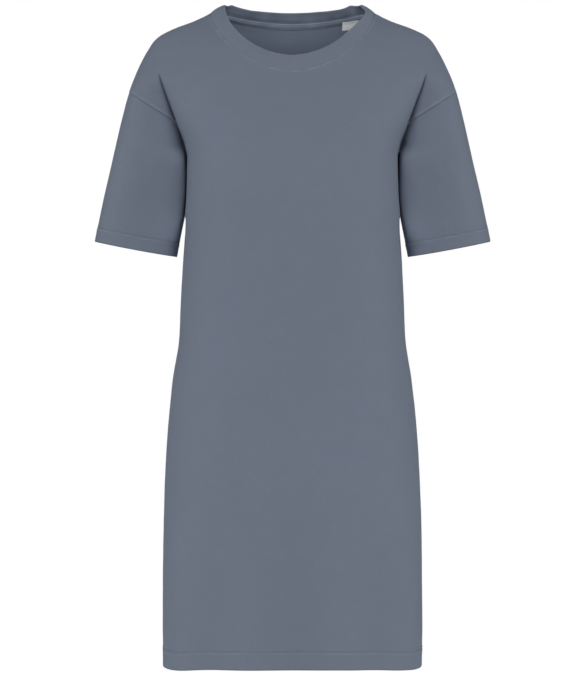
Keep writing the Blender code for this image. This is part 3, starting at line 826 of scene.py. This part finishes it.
def panelProfile(p, face):
    # the skirt's fold troughs start with painted shade, as deep as each fold
    lift, inside, fadeAndPaintedLight = billow(p), 0.0, -foldDepth(p.x, p.z, face) * foldGrowth["shade"]
    d = away(p, "hem")
    if d < hem["reach"]:
        up, thick, pale = turnedHem(p, d, dress["turnUp"], dress["stitchUp"])
        lift, inside, fadeAndPaintedLight = lift + up, inside + thick, fadeAndPaintedLight + pale
    d = away(p, "neck")
    lift *= smooth(d / seam["reach"])
    lift += pucker(p, d) + seamLine(d, seam["neckRidge"])
    if face == front:
        pale = seam["neckPale"]
        patchy = pale["height"] + seam["neckPatches"] * noise.noise(p * grain["neckPatches"])
        fadeAndPaintedLight += patchy * bell(d - pale["at"], pale["wide"])
    d = away(p, "armhole")
    if d < seam["reach"]:
        low, patches = seam["armholePatches"]
        patchy = low + patches * noise.noise(p * grain["panelPatches"])
        lift += pucker(p, d, seam["armholeReach"]) * seam["armholePucker"]
        lift += seam["armholeStep"] * stepUp(d, seam["armholeDeep"], seam["outsideOver"])
        lift += seamLine(d, seam["armholeRidge"])
        inside += seam["allowance"] * stepUp(d, seam["armholeDeep"], seam["allowanceOver"])
        fadeAndPaintedLight += patchy * seamLine(d, seam["armholePale"])
    d = away(p, "shoulder")
    if d < seam["reach"]:
        lift += pucker(p, d) * seam["shoulderPucker"]
        lift += seamLine(d, seam["shoulderGroove"]) + seamLine(d, seam["shoulderRidge"])
        fadeAndPaintedLight += seamLine(d, seam["sidePale"])
        if face == back:
            raised = stepUp(d, seam["allowanceDeep"], seam["outsideOver"])
            lift += seam["shoulderStep"] * smooth(d / seam["allowanceOver"]) * raised
    d = away(p, "side")
    if d < seam["reach"]:
        lift, thick, pale = sideSeam(p, d, lift, seam["sideGroove"], seam["sidePale"])
        inside, fadeAndPaintedLight = inside + thick, fadeAndPaintedLight + pale
        if face == back:
            raised = stepUp(d, seam["allowanceDeep"] + seam["allowanceOver"], seam["outsideOver"])
            lift += (1 - joined(p)) * seam["sideStep"] * raised
    return lift, inside, min(fadeAndPaintedLight, 1.0)


def sleeveProfile(p):
    lift, inside = billow(p) * sleeve["billow"], 0.0
    # painted light: the front of the sleeve is painted paler next to the body, where the body shades it
    fadeAndPaintedLight = innerSleeveLight["pale"] * exp((sleeveInner(p.z) - abs(p.x)) / innerSleeveLight["reach"]) * touching(p.z)
    fadeAndPaintedLight *= smooth((sleeveMiddle(p.z) - p.y) / innerSleeveLight["middleOver"])
    d = away(p, "cuff")
    if d < hem["reach"]:
        up, thick, pale = turnedHem(p, d, sleeve["turnUp"], sleeve["stitchUp"])
        lift, inside, fadeAndPaintedLight = lift + up, inside + thick, fadeAndPaintedLight + pale
    d = away(p, "armhole")
    if d < seam["reach"]:
        low, patches = seam["armholePatches"]
        patchy = low + patches * noise.noise(p * grain["sleevePatches"])
        near = smooth((seam["sinkFrom"] - p.z) / seam["sinkOver"])
        lift += pucker(p, d, seam["armholeReach"]) * seam["armholePucker"]
        lift += (seam["sleeveRise"] - seam["sleeveSink"] * near) * exp(-d / seam["sinkWide"])
        # painted shade where the seam sinks towards the crease
        fadeAndPaintedLight += near * patchy * seamLine(d, seam["sinkPaintedShade"])
    d = away(p, "underarm")
    if d < seam["reach"]:
        lift, thick, pale = sideSeam(p, d, lift, seam["underarmGroove"], seam["underarmPale"])
        inside, fadeAndPaintedLight = inside + thick, fadeAndPaintedLight + pale
    return lift, inside, min(fadeAndPaintedLight, 1.0)


def cutPiece(index, profile):
    # one piece of the shell with its relief and the depth of its wall
    bm = shell.copy()
    bmesh.ops.delete(bm, geom=[face for face in bm.faces if face.material_index != index], context="FACES")
    normal = bm.verts.layers.float_vector["outward"]
    sunk, fadeAndPaintedLight, insideFadeAndLight = (bm.verts.layers.float[name] for name in ("sunk", "fadeAndPaintedLight", "insideFadeAndLight"))
    for vert in bm.verts:
        lift, inside, vert[fadeAndPaintedLight] = profile(vert.co.copy())
        vert.co += vert[normal] * lift
        vert[sunk] = dress["cloth"] + inside
        # the whole inner face is painted in the paler colour: painted light inside the dress
        vert[insideFadeAndLight] = 1.0
    return bm


def settle(bm):
    # an extrusion's rim can come in any order, so the faces are put in the order of their points
    bm.verts.index_update()
    count = len(bm.verts)

    def turnOf(face):
        a, b, c = sorted(vert.index for vert in face.verts)[:3]
        return (a * count + b) * count + c

    bm.faces.sort(key=turnOf)


def giveWall(bm):
    # a copy of the open face, moved in by each point's own depth, and the rim between them
    normal = bm.verts.layers.float_vector["outward"]
    sunk, fadeAndPaintedLight, insideFadeAndLight = (bm.verts.layers.float[name] for name in ("sunk", "fadeAndPaintedLight", "insideFadeAndLight"))
    made = bmesh.ops.extrude_face_region(bm, geom=bm.faces[:], use_keep_orig=True)["geom"]
    for vert in [item for item in made if isinstance(item, bmesh.types.BMVert)]:
        vert.co -= vert[normal] * max(vert[sunk], dress["thinnest"])
        # the inner face takes its own value, mostly painted light
        vert[fadeAndPaintedLight] = vert[insideFadeAndLight]
    bmesh.ops.recalc_face_normals(bm, faces=bm.faces[:])
    if bm.calc_volume(signed=True) < 0:
        bmesh.ops.reverse_faces(bm, faces=bm.faces[:])
    settle(bm)


def finished(name, bm, material):
    # the piece as an object that rides on the dress, with its uv in metres
    if "u" in bm.verts.layers.float:
        uAlong, vAlong = bm.verts.layers.float["u"], bm.verts.layers.float["v"]
        layer = bm.loops.layers.uv.new("cloth")
        for face in bm.faces:
            for loop in face.loops:
                loop[layer].uv = (loop.vert[uAlong], loop.vert[vAlong])
    for face in bm.faces:
        face.smooth = True
        face.material_index = 0
    mesh = bpy.data.meshes.new(name)
    bm.to_mesh(mesh)
    bm.free()
    mesh.materials.append(material)
    piece = bpy.data.objects.new(name, mesh)
    bpy.context.scene.collection.objects.link(piece)
    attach(piece, "root")
    return piece


# cloth materials

jersey = {
    "colour": (0.138, 0.161, 0.205),
    # the paler colour, for dye rubbed pale at the seams and for painted light on the inner faces
    "fadedAndLit": (0.264, 0.311, 0.404),
    "roughness": 0.92,
    "specular": 0.18,
    "sheen": 0.02,
    "sheenRoughness": 0.6,
    "wale": 0.00105,      # width of one column of knit loops
    "course": 0.00080,    # height of one loop
    "relief": 0.00012,
    "loops": 0.3,
    "valley": 4,          # sharpness of the line between two columns
    "fuzz": 0.8,
    "fuzzScale": 2600,
    "bump": 0.5,
    "dye": [(7, 2, 0.03), (42, 3, 0.035), (900, 2, 0.12)],   # scale, detail, depth: patches, clouds, flecks
    # how far a negative fade darkens: painted shade, and darker patches of dye
    "shadeAndDyeDarkening": 0.55,
}
ribKnit = dict(jersey, wale=0.0018, course=0.0009, relief=0.00010, colour=(0.131, 0.153, 0.194))
tapeKnit = dict(jersey, wale=0.0009, course=0.0012, relief=0.00014, colour=(0.235, 0.285, 0.365),
                fadedAndLit=(0.420, 0.500, 0.640))
thread = dict(jersey, colour=(0.165, 0.193, 0.240), relief=0.0,
              dye=[(7, 2, 0.03), (42, 3, 0.035), (900, 2, 0.05)])
labelWeave = dict(jersey, colour=(0.82, 0.85, 0.84), fadedAndLit=(0.90, 0.92, 0.92), roughness=0.78, sheen=0.15,
                  wale=0.0006, course=0.0006, relief=0.00006, shadeAndDyeDarkening=0.5,
                  dye=[(7, 2, 0.03), (42, 3, 0.05), (900, 2, 0.06)])


def clothMaterial(name, look):
    material = bpy.data.materials.new(name)
    material.use_nodes = True
    nodes, links = material.node_tree.nodes, material.node_tree.links
    shader = nodes["Principled BSDF"]
    shader.inputs["Roughness"].default_value = look["roughness"]
    shader.inputs["Specular IOR Level"].default_value = look["specular"]
    shader.inputs["Sheen Weight"].default_value = look["sheen"]
    shader.inputs["Sheen Roughness"].default_value = look["sheenRoughness"]
    place = nodes.new("ShaderNodeTexCoord")

    def sums(kind, a, b=None):
        node = nodes.new("ShaderNodeMath")
        node.operation = kind
        for socket, value in zip(node.inputs, (a, b)):
            if isinstance(value, (int, float)):
                socket.default_value = value
            elif value is not None:
                links.new(value, socket)
        return node.outputs[0]

    def noisy(scale, detail):
        node = nodes.new("ShaderNodeTexNoise")
        node.inputs["Scale"].default_value = scale
        node.inputs["Detail"].default_value = detail
        links.new(place.outputs["Object"], node.inputs["Vector"])
        return sums("SUBTRACT", node.outputs["Fac"], 0.5)

    # the dye's unevenness, as a factor round 1; then the fade attribute, which below 0 darkens the cloth with
    # painted shade and some darker dye, and above 0 mixes in the paler colour, for dye rubbed pale at seams
    # and for painted light
    tone = 1.0
    for scale, detail, depth in look["dye"]:
        tone = sums("ADD", sums("MULTIPLY", noisy(scale, detail), depth * 2), tone)
    fadeAndPaintedLight = nodes.new("ShaderNodeAttribute")
    fadeAndPaintedLight.attribute_name = "fadeAndPaintedLight"
    shadeAndDyeDarkening = sums("MULTIPLY", sums("MINIMUM", fadeAndPaintedLight.outputs["Fac"], 0), look["shadeAndDyeDarkening"])
    tone = sums("MULTIPLY", tone, sums("ADD", shadeAndDyeDarkening, 1))
    paler = nodes.new("ShaderNodeMix")
    paler.data_type = "RGBA"
    paler.inputs["A"].default_value = (*look["colour"], 1)
    paler.inputs["B"].default_value = (*look["fadedAndLit"], 1)
    links.new(fadeAndPaintedLight.outputs["Fac"], paler.inputs["Factor"])
    dyed = nodes.new("ShaderNodeVectorMath")
    dyed.operation = "SCALE"
    links.new(paler.outputs["Result"], dyed.inputs[0])
    links.new(tone, dyed.inputs["Scale"])
    links.new(dyed.outputs[0], shader.inputs["Base Color"])

    # columns of knit loops, each a small v
    if look["relief"]:
        cloth = nodes.new("ShaderNodeUVMap")
        cloth.uv_map = "cloth"
        parts = nodes.new("ShaderNodeSeparateXYZ")
        links.new(cloth.outputs["UV"], parts.inputs[0])
        column = sums("FRACT", sums("DIVIDE", parts.outputs["X"], look["wale"]))
        off = sums("ABSOLUTE", sums("SUBTRACT", column, 0.5))
        phase = sums("ADD", sums("DIVIDE", parts.outputs["Y"], look["course"]), off)
        loops = sums("SINE", sums("MULTIPLY", phase, 2 * pi))
        valley = sums("POWER", sums("MULTIPLY", off, 2), look["valley"])
        height = sums("SUBTRACT", sums("MULTIPLY", loops, look["loops"]), valley)
        height = sums("ADD", height, sums("MULTIPLY", noisy(look["fuzzScale"], 1), look["fuzz"]))
        bump = nodes.new("ShaderNodeBump")
        bump.inputs["Strength"].default_value = look["bump"]
        bump.inputs["Distance"].default_value = look["relief"]
        links.new(height, bump.inputs["Height"])
        links.new(bump.outputs["Normal"], shader.inputs["Normal"])
    return material


jerseyCloth = clothMaterial("slate jersey", jersey)
ribCloth = clothMaterial("slate rib", ribKnit)
tapeCloth = clothMaterial("slate tape", tapeKnit)
sewingThread = clothMaterial("slate thread", thread)
labelCloth = clothMaterial("bare label weave", labelWeave)

pieces, surfaces, areas = {}, {}, {}


def sewOn(name, node, bm, material, title=None):
    # the finished piece in the place of its node
    areas[name] = sum(face.calc_area() for face in bm.faces)
    surfaces[name] = BVHTree.FromBMesh(bm)
    giveWall(bm)
    pieces[name] = finished(title or name, bm, material)
    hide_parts(node)


print("dress: panels and sleeves")
sewOn("frontPanel", "front_panel", cutPiece(0, lambda p: panelProfile(p, front)), jerseyCloth)
sewOn("backPanel", "back_panel", cutPiece(1, lambda p: panelProfile(p, back)), jerseyCloth)
sewOn("sleeveLeft", "sleeve_left", cutPiece(2, sleeveProfile), jerseyCloth)
sewOn("sleeveRight", "sleeve_right", cutPiece(3, sleeveProfile), jerseyCloth)

# neckband: a ring of rib from the neckline to its folded free edge

rib = {
    "wall": 0.0024,
    "edgeHalf": 0.0945,
    "edgeTop": 0.0118,
    "edgeFront": dict(low=-0.0636, y=-0.0677, lean=0.68),
    "edgeBack": dict(low=0.0064, y=0.0500, lean=1.05),
    "shape": 1.82,
    "bulge": 0.0012,
    "ruffle": 0.0036,       # the back's free edge rises near the shoulders
    "ruffleAt": 0.86,
    "ruffleWide": 0.12,
    "shoulderRise": 0.0014,
    "riseFrom": 0.090,
    "riseOver": 0.020,
    "endFrom": 0.9,         # the back's end at the wearer's left is a little wider
    "endWider": 0.0014,
    "ribs": 168,
    "perRib": 6,
    "relief": 0.00042,
    "reliefShape": 0.7,
    "reliefMiddle": 0.6,
    "edgeFlat": 0.0015,     # the ribs fade out at the free edge and at the seam
    "seamFlat": 0.001,
    "rounding": 0.0012,
    "insideRounding": 1.2,
    "waver": 0.0005,
    "waverFrom": 0.004,
    "edgePale": 0.15,
    "edgePaleWide": 0.0018,
    "ribPale": 0.09,
}
ribSteps = [0, 0.01, 0.03, 0.06, 0.12, 0.2, 0.3, 0.4, 0.5, 0.6, 0.7, 0.8, 0.87, 0.92, 0.955, 0.98, 1]

# lumps of the back's free edge, by share of its half width from the wearer's right to the left
ribLumps = table(
    "at wide height",
    (-0.90, 0.030, 0.0012),
    (-0.70, 0.080, 0.0012),
    (-0.48, 0.160, 0.0008),
    (0.86, 0.040, 0.0010),
    (0.62, 0.140, 0.0012),
    (0.40, 0.150, 0.0006),
)

# how far the front's free edge springs out towards its end at the wearer's left
leftBulge = table(
    "share out",
    (0.0, 0.0),
    (0.78, 0.0),
    (0.823, 0.0010),
    (0.882, 0.0027),
    (0.915, 0.0042),
    (0.937, 0.0064),
    (0.963, 0.0084),
    (0.984, 0.0090),
    (0.994, 0.0070),
    (1.0, 0.0014),
)

# painted light and shade on the band's wrong side: it is painted paler, with a strip of painted shadow over
# the seam just above the tape, painted shade towards both shoulders, and random patches
ribInsideLight = {
    "pale": 0.38,
    "strip": 0.35,
    "stripAt": 0.0072,
    "stripWide": 0.0022,
    "ends": [(left, 0.5, 0.086, 0.010), (right, 0.4, 0.088, 0.006)],   # hand, depth, start and reach
    "patches": 0.25,
}


def bulgeOut(share):
    for low, high in zip(leftBulge, leftBulge[1:]):
        if share <= high["share"]:
            return mix(low["out"], high["out"], (share - low["share"]) / (high["share"] - low["share"]))
    return leftBulge[-1]["out"]


def ribEdge(share, face):
    # the free edge, from -1 at the right shoulder to 1 at the left
    share = max(-1.0, min(1.0, share))
    rise = arch(share, rib["shape"])
    side = rib["edgeFront"] if face == front else rib["edgeBack"]
    x, z = rib["edgeHalf"] * share, mix(rib["edgeTop"], side["low"], rise)
    if face == back:
        z += rib["ruffle"] * bell(abs(share) - rib["ruffleAt"], rib["ruffleWide"])
        z += sum(lump["height"] * bell(share - lump["at"], lump["wide"]) for lump in ribLumps)
        x += rib["endWider"] * max(0.0, share - rib["endFrom"]) / (1 - rib["endFrom"])
    elif share > 0:
        x += bulgeOut(share)
    return Vector((x, side["y"] * rise ** side["lean"], z))


print("dress: neckband")
ring = neckRows[front] + neckRows[back][-2:0:-1]
ring = spaced(ring + ring[:1], rib["ribs"] * rib["perRib"])
shoulderAt = min(range(len(ring)), key=lambda k: (ring[k] - neckRows[front][-1]).length)
ringEdges = []
for k, point in enumerate(ring):
    face = front if k <= shoulderAt or k == len(ring) - 1 else back
    ringEdges.append(ribEdge(point.x / neck["half"], face))
bandRows = []
for share in ribSteps:
    arched = 4 * share * (1 - share)
    row = []
    for a, b in zip(ring, ringEdges):
        out = Vector((a.x, a.y, 0)).normalized()
        rise = rib["shoulderRise"] * arched * smooth((abs(a.x) - rib["riseFrom"]) / rib["riseOver"])
        row.append(a.lerp(b, share) + out * rib["bulge"] * arched + Vector((0, 0, rise)))
    bandRows.append(row)
band = openCloth([bandRows], forward, Vector((0, -1, 0)))
normal = band.verts.layers.float_vector["outward"]
column, sunk, fadeAndPaintedLight, insideFadeAndLight = (band.verts.layers.float[name] for name in ("column", "sunk", "fadeAndPaintedLight", "insideFadeAndLight"))
edgeTree = treeOf([ringEdges])
for vert in band.verts:
    seamOff, edgeOff = away(vert.co, "neck"), edgeTree.find(vert.co)[2]
    wave = abs(sin(pi * vert[column] / rib["perRib"])) ** rib["reliefShape"]
    strength = smooth(edgeOff / rib["edgeFlat"]) * smooth(seamOff / rib["seamFlat"])
    ribbed = rib["relief"] * (wave - rib["reliefMiddle"]) * strength
    rounding = max(0.0, 1 - edgeOff / rib["rounding"])
    vert[fadeAndPaintedLight] = rib["edgePale"] * bell(edgeOff, rib["edgePaleWide"]) + rib["ribPale"] * wave * strength
    # the wrong side is painted paler: painted light inside the neck
    vert[insideFadeAndLight] = ribInsideLight["pale"]
    # a strip of painted shadow just above the tape
    vert[insideFadeAndLight] -= ribInsideLight["strip"] * bell(seamOff - ribInsideLight["stripAt"], ribInsideLight["stripWide"])
    # painted shade in the band's corners at both shoulders
    for hand, paintedShade, start, over in ribInsideLight["ends"]:
        vert[insideFadeAndLight] -= paintedShade * smooth((hand * vert.co.x - start) / over)
    vert[insideFadeAndLight] -= ribInsideLight["patches"] * noise.noise(vert.co * grain["ribPatches"])
    vert[sunk] = rib["wall"] - rib["insideRounding"] * rib["rounding"] * rounding ** 2 + ribbed
    lift = ribbed - rib["rounding"] * (1 - (1 - rounding ** 2) ** 0.5)
    lift += rib["waver"] * noise.noise(vert.co * grain["ribWaver"]) * smooth(seamOff / rib["waverFrom"])
    vert.co += vert[normal] * lift
sewOn("neckband", "neckband", band, ribCloth, "neckRib")

# neck tape: a strip over the seam inside the back of the neck

tape = {
    "above": 0.0050,
    "below": 0.0059,
    "wall": 0.0009,
    "gap": 0.0003,
    "forward": 0.0013,      # its lower edge lies nearer the back panel
    "columns": 150,
    "across": 14,
    "thinEdge": 0.6,
    "edgeOver": 0.0007,
    "dent": dict(height=0.0002, at=0.0022, wide=0.0007),       # below its top edge
    "topHighlight": dict(height=0.10, at=0.0, wide=0.0012),
    "lowPaintedLight": 0.42,
    "lowPaintedLightUp": 0.0055,
    "waver": 0.00025,
    "patches": 0.3,
    "twin": 0.0030,         # a line of painted shade that leaves the lower edge away from the middle
    "twinMiddle": -0.002,
    "twinFrom": 0.044,
    "twinOver": 0.012,
    "twinPaintedShade": 0.6,
    "twinWide": 0.0004,
    "twinClear": 0.002,
}

print("dress: neck tape and label")
tapeLine = spaced(neckRows[back], tape["columns"])
tapeRows = [[] for k in range(tape["across"] + 1)]
for before, point, after in zip(tapeLine[:1] + tapeLine, tapeLine, tapeLine[1:] + tapeLine[-1:]):
    along = (after - before).normalized()
    up = (ribEdge(point.x / neck["half"], back) - point).normalized()
    bandNormal = along.cross(up).normalized()
    bandNormal = bandNormal if bandNormal.y > 0 else -bandNormal
    panelNormal = surfaces["backPanel"].find_nearest(point)[1]
    panelNormal = panelNormal if panelNormal.y > 0 or panelNormal.z > 0 else -panelNormal
    both = (bandNormal + panelNormal).normalized()
    down = along.cross(both).normalized()
    down = down if down.z < 0 else -down
    seat = point - both * (rib["wall"] + tape["gap"])
    for j, row in enumerate(tapeRows):
        off = mix(tape["below"], -tape["above"], j / tape["across"])
        leaned = both * tape["forward"] * smooth(off / tape["below"])
        row.append(seat + (down * off if off > 0 else up * -off) + leaned)
strip = openCloth([tapeRows], lambda face: abs(face.calc_center_median().x), Vector((0, 1, 0)))
vAlong, sunk, fadeAndPaintedLight, insideFadeAndLight = (strip.verts.layers.float[name] for name in ("v", "sunk", "fadeAndPaintedLight", "insideFadeAndLight"))
for vert in strip.verts:
    v = vert[vAlong]
    topOff = tape["above"] + tape["below"] - v
    twin = tape["twin"] * smooth((abs(vert.co.x - tape["twinMiddle"]) - tape["twinFrom"]) / tape["twinOver"])
    # painted highlight on the top edge and painted light over the lower part, which faces down; painted shade
    # along the twin line
    vert[fadeAndPaintedLight] = seamLine(topOff, tape["topHighlight"]) + tape["lowPaintedLight"] * (1 - smooth(v / tape["lowPaintedLightUp"]))
    vert[fadeAndPaintedLight] -= tape["twinPaintedShade"] * bell(v - twin, tape["twinWide"]) * smooth(twin / tape["twinClear"])
    vert[fadeAndPaintedLight] += tape["patches"] * noise.noise(vert.co * grain["tapePatches"])
    vert[insideFadeAndLight] = vert[fadeAndPaintedLight]
    vert[sunk] = tape["wall"] * mix(tape["thinEdge"], 1, smooth(min(v, topOff) / tape["edgeOver"]))
    vert[sunk] += tape["waver"] * noise.noise(vert.co * grain["tapeWaver"]) - seamLine(topOff, tape["dent"])
sewOn("neckTape", "neck_tape", strip, tapeCloth)

# label: a small bare strip of woven cloth inside the back

label = {
    "middle": Vector((0.0834, -0.0078)),
    "width": 0.0234,
    "height": 0.0086,
    "turn": 0.075,
    "clear": 0.0067,        # it stands this far off the back's outer face
    "hang": 0.0050,         # its lower edge hangs clear of the back
    "ripple": 0.0004,
    "wall": 0.0008,
    "thinEdge": 0.5,
    "edgeOver": 0.001,
    "edgePale": 0.5,
    "edgePaleWide": 0.0008,
    "rows": 12,
    "columns": 24,
    "probe": 0.002,
    "margin": 0.0005,       # its flat size is stated this much over the measured one
}

across = Vector((cos(label["turn"]), sin(label["turn"])))
upward = Vector((-across.y, across.x))
labelRows = []
for j in range(label["rows"] + 1):
    down = 0.5 - j / label["rows"]
    row = []
    for i in range(label["columns"] + 1):
        share = i / label["columns"]
        flat = label["middle"] + across * label["width"] * (share - 0.5) - upward * label["height"] * down
        here = onBody(flat, back)
        beside = onBody(flat + Vector((label["probe"], 0)), back) - here
        below = onBody(flat - Vector((0, label["probe"])), back) - here
        way = beside.cross(below).normalized()
        way = way if way.y > 0 else -way
        ripple = label["ripple"] * sin(2 * pi * share)
        row.append(here - way * (label["clear"] + label["hang"] * down + ripple))
    labelRows.append(row)
patch = openCloth([labelRows], lambda face: face.calc_center_median().z, Vector((0, 1, 0)))
layers = patch.verts.layers.float
uAlong, vAlong, sunk, fadeAndPaintedLight, insideFadeAndLight = (layers[name] for name in ("u", "v", "sunk", "fadeAndPaintedLight", "insideFadeAndLight"))
for vert in patch.verts:
    edgeOff = min(label["width"] / 2 - abs(vert[uAlong]), vert[vAlong], label["height"] - vert[vAlong])
    vert[sunk] = label["wall"] * mix(label["thinEdge"], 1, smooth(edgeOff / label["edgeOver"]))
    vert[fadeAndPaintedLight] = label["edgePale"] * bell(edgeOff, label["edgePaleWide"])
    vert[insideFadeAndLight] = vert[fadeAndPaintedLight]
sewOn("neckLabel", "neck_label", patch, labelCloth)

# sewing: each stitch is a small grain of thread lying on the cloth

sewing = {
    "length": 0.0023,
    "pitch": 0.0031,
    "thick": 0.00055,
    "lift": 0.00008,
    "shortest": 1e-6,
    "twin": 0.0036,         # between the two lines of a hem
    "columns": 240,
    "waver": 0.0005,
}


def stitchLine(bm, path, trees):
    spots = spaced(path, max(2, round(lengthOf(path) / sewing["pitch"])))
    for a, b in zip(spots, spots[1:]):
        middle = (a + b) / 2
        found = min((tree.find_nearest(middle) for tree in trees), key=lambda hit: hit[3])
        up = found[1]
        along = (b - a) - up * (b - a).dot(up)
        if along.length < sewing["shortest"]:
            continue
        along.normalize()
        turn = Matrix((along, up.cross(along), up)).transposed().to_4x4()
        size = Matrix.Diagonal((sewing["length"] / 2, sewing["thick"] / 2, sewing["thick"] / 2, 1))
        place = Matrix.Translation(found[0] + up * sewing["lift"])
        bmesh.ops.create_icosphere(bm, subdivisions=1, radius=1, matrix=place @ turn @ size)


def stitches(name, lines, trees):
    bm = bmesh.new()
    for path in lines:
        stitchLine(bm, path, trees)
    return finished(name, bm, sewingThread)


def hemRing(up):
    # the way round the skirt at that height above its bottom edge
    sides = {face: guidePoints(levelFlats(dress["hem"] + up, face), face) for face in (front, back)}
    shares = [k / sewing["columns"] for k in range(sewing["columns"] + 1)]
    around = []
    for face in (front, back):
        path = through(sides[face], shares, sides[-face][1], sides[-face][-2])
        for p in path:
            p.z += sewing["waver"] * wander(p, *grain["stitching"])
        path = hung(path)
        around += path if face == front else path[::-1]
    return around


def cuffRing(up, hand):
    halves = [[onCap(flat, face, hand) for flat in cuffFlats(up, face)] for face in (front, back)]
    return halves[0][::-1] + halves[1][1:]


print("dress: sewing")
bodySurfaces = [surfaces["frontPanel"], surfaces["backPanel"]]
hemLines = [hemRing(dress["stitchUp"]), hemRing(dress["stitchUp"] - sewing["twin"])]
hemStitches = stitches("hemStitches", hemLines, bodySurfaces)
for hand, name in ((left, "Left"), (right, "Right")):
    cuffLines = [cuffRing(up, hand) for up in (sleeve["stitchUp"], sleeve["stitchUp"] - sewing["twin"])]
    stitches("cuffStitches" + name, cuffLines, [surfaces["sleeve" + name]])

print("dress: cloth")

# studio: a pale floor, soft lights round the dress, and the camera level with its middle

studio = {
    "floorDrop": 0.20,
    "floorSize": 2.2,
    "floorSides": 96,
    "floorGrey": 0.85,
    "floorRoughness": 0.9,
    "fillColour": (0.95, 0.98, 1.05, 1),
    "fillPower": 0.28,
    "white": (1, 1, 1, 1),
}
softboxes = {
    "keyLight": dict(place=(0, -4.0, 0.0), aim=-0.40, size=(1.8, 1.8), power=15),
    "sideLight": dict(place=(1.8, -3.1, -0.1), aim=-0.45, size=(1.4, 2.0), power=31.5),
    "flankLight": dict(place=(3.45, -0.61, 0.0), aim=-0.45, size=(1.8, 2.4), power=43),
    "backLight": dict(place=(0, 4.0, 0.5), aim=-0.40, size=(2.4, 2.4), power=80),
    "topLight": dict(place=(0, -1.6, 2.0), aim=-0.10, size=(1.6, 1.2), power=12),
}


def softbox(name, hand=left):
    look = softboxes[name]
    light = bpy.data.lights.new(name, "AREA")
    light.shape = "RECTANGLE"
    light.size, light.size_y = look["size"]
    light.energy = look["power"]
    lamp = bpy.data.objects.new(name, light)
    lamp.location = (hand * look["place"][0], look["place"][1], look["place"][2])
    lamp.rotation_mode = "QUATERNION"
    lamp.rotation_quaternion = (Vector((0, 0, look["aim"])) - lamp.location).to_track_quat("-Z", "Y")
    bpy.context.scene.collection.objects.link(lamp)


print("dress: studio")
floorMesh = bpy.data.meshes.new("floor")
floorShape = bmesh.new()
bmesh.ops.create_circle(floorShape, cap_ends=True, segments=studio["floorSides"],
                        radius=studio["floorSize"] / 2)
bmesh.ops.translate(floorShape, verts=floorShape.verts[:], vec=(0, 0, dress["hem"] - studio["floorDrop"]))
floorShape.to_mesh(floorMesh)
floorShape.free()
floor = bpy.data.objects.new("floor", floorMesh)
bpy.context.scene.collection.objects.link(floor)
floorPaint = bpy.data.materials.new("pale floor")
floorPaint.use_nodes = True
paint = floorPaint.node_tree.nodes["Principled BSDF"]
paint.inputs["Base Color"].default_value = (*[studio["floorGrey"]] * 3, 1)
paint.inputs["Roughness"].default_value = studio["floorRoughness"]
floorMesh.materials.append(floorPaint)

softbox("keyLight")
for hand in (left, right):
    softbox("sideLight", hand)
    softbox("flankLight", hand)
softbox("backLight")
softbox("topLight")

# the world fills the shadows, and the camera sees white behind the dress
world = bpy.data.worlds.new("studio")
world.use_nodes = True
bpy.context.scene.world = world
nodes, links = world.node_tree.nodes, world.node_tree.links
fill = nodes["Background"]
fill.inputs["Color"].default_value = studio["fillColour"]
fill.inputs["Strength"].default_value = studio["fillPower"]
backdrop = nodes.new("ShaderNodeBackground")
backdrop.inputs["Color"].default_value = studio["white"]
backdrop.inputs["Strength"].default_value = 1.0
paths = nodes.new("ShaderNodeLightPath")
chosen = nodes.new("ShaderNodeMixShader")
links.new(paths.outputs["Is Camera Ray"], chosen.inputs["Fac"])
links.new(fill.outputs[0], chosen.inputs[1])
links.new(backdrop.outputs[0], chosen.inputs[2])
links.new(chosen.outputs[0], nodes["World Output"].inputs["Surface"])

view = {"distance": 4.2, "height": -0.4543, "frameHeight": 0.9464, "sensor": 36}
lens = bpy.data.cameras.new("camera")
lens.sensor_width = view["sensor"]
lens.lens = view["sensor"] * view["distance"] / view["frameHeight"]
camera = bpy.data.objects.new("camera", lens)
camera.location = (0, -view["distance"], view["height"])
camera.rotation_euler = (pi / 2, 0, 0)
bpy.context.scene.collection.objects.link(camera)
bpy.context.scene.camera = camera
bpy.context.scene.view_settings.view_transform = "Standard"
bpy.context.scene.view_settings.look = "None"

bpy.context.view_layer.update()
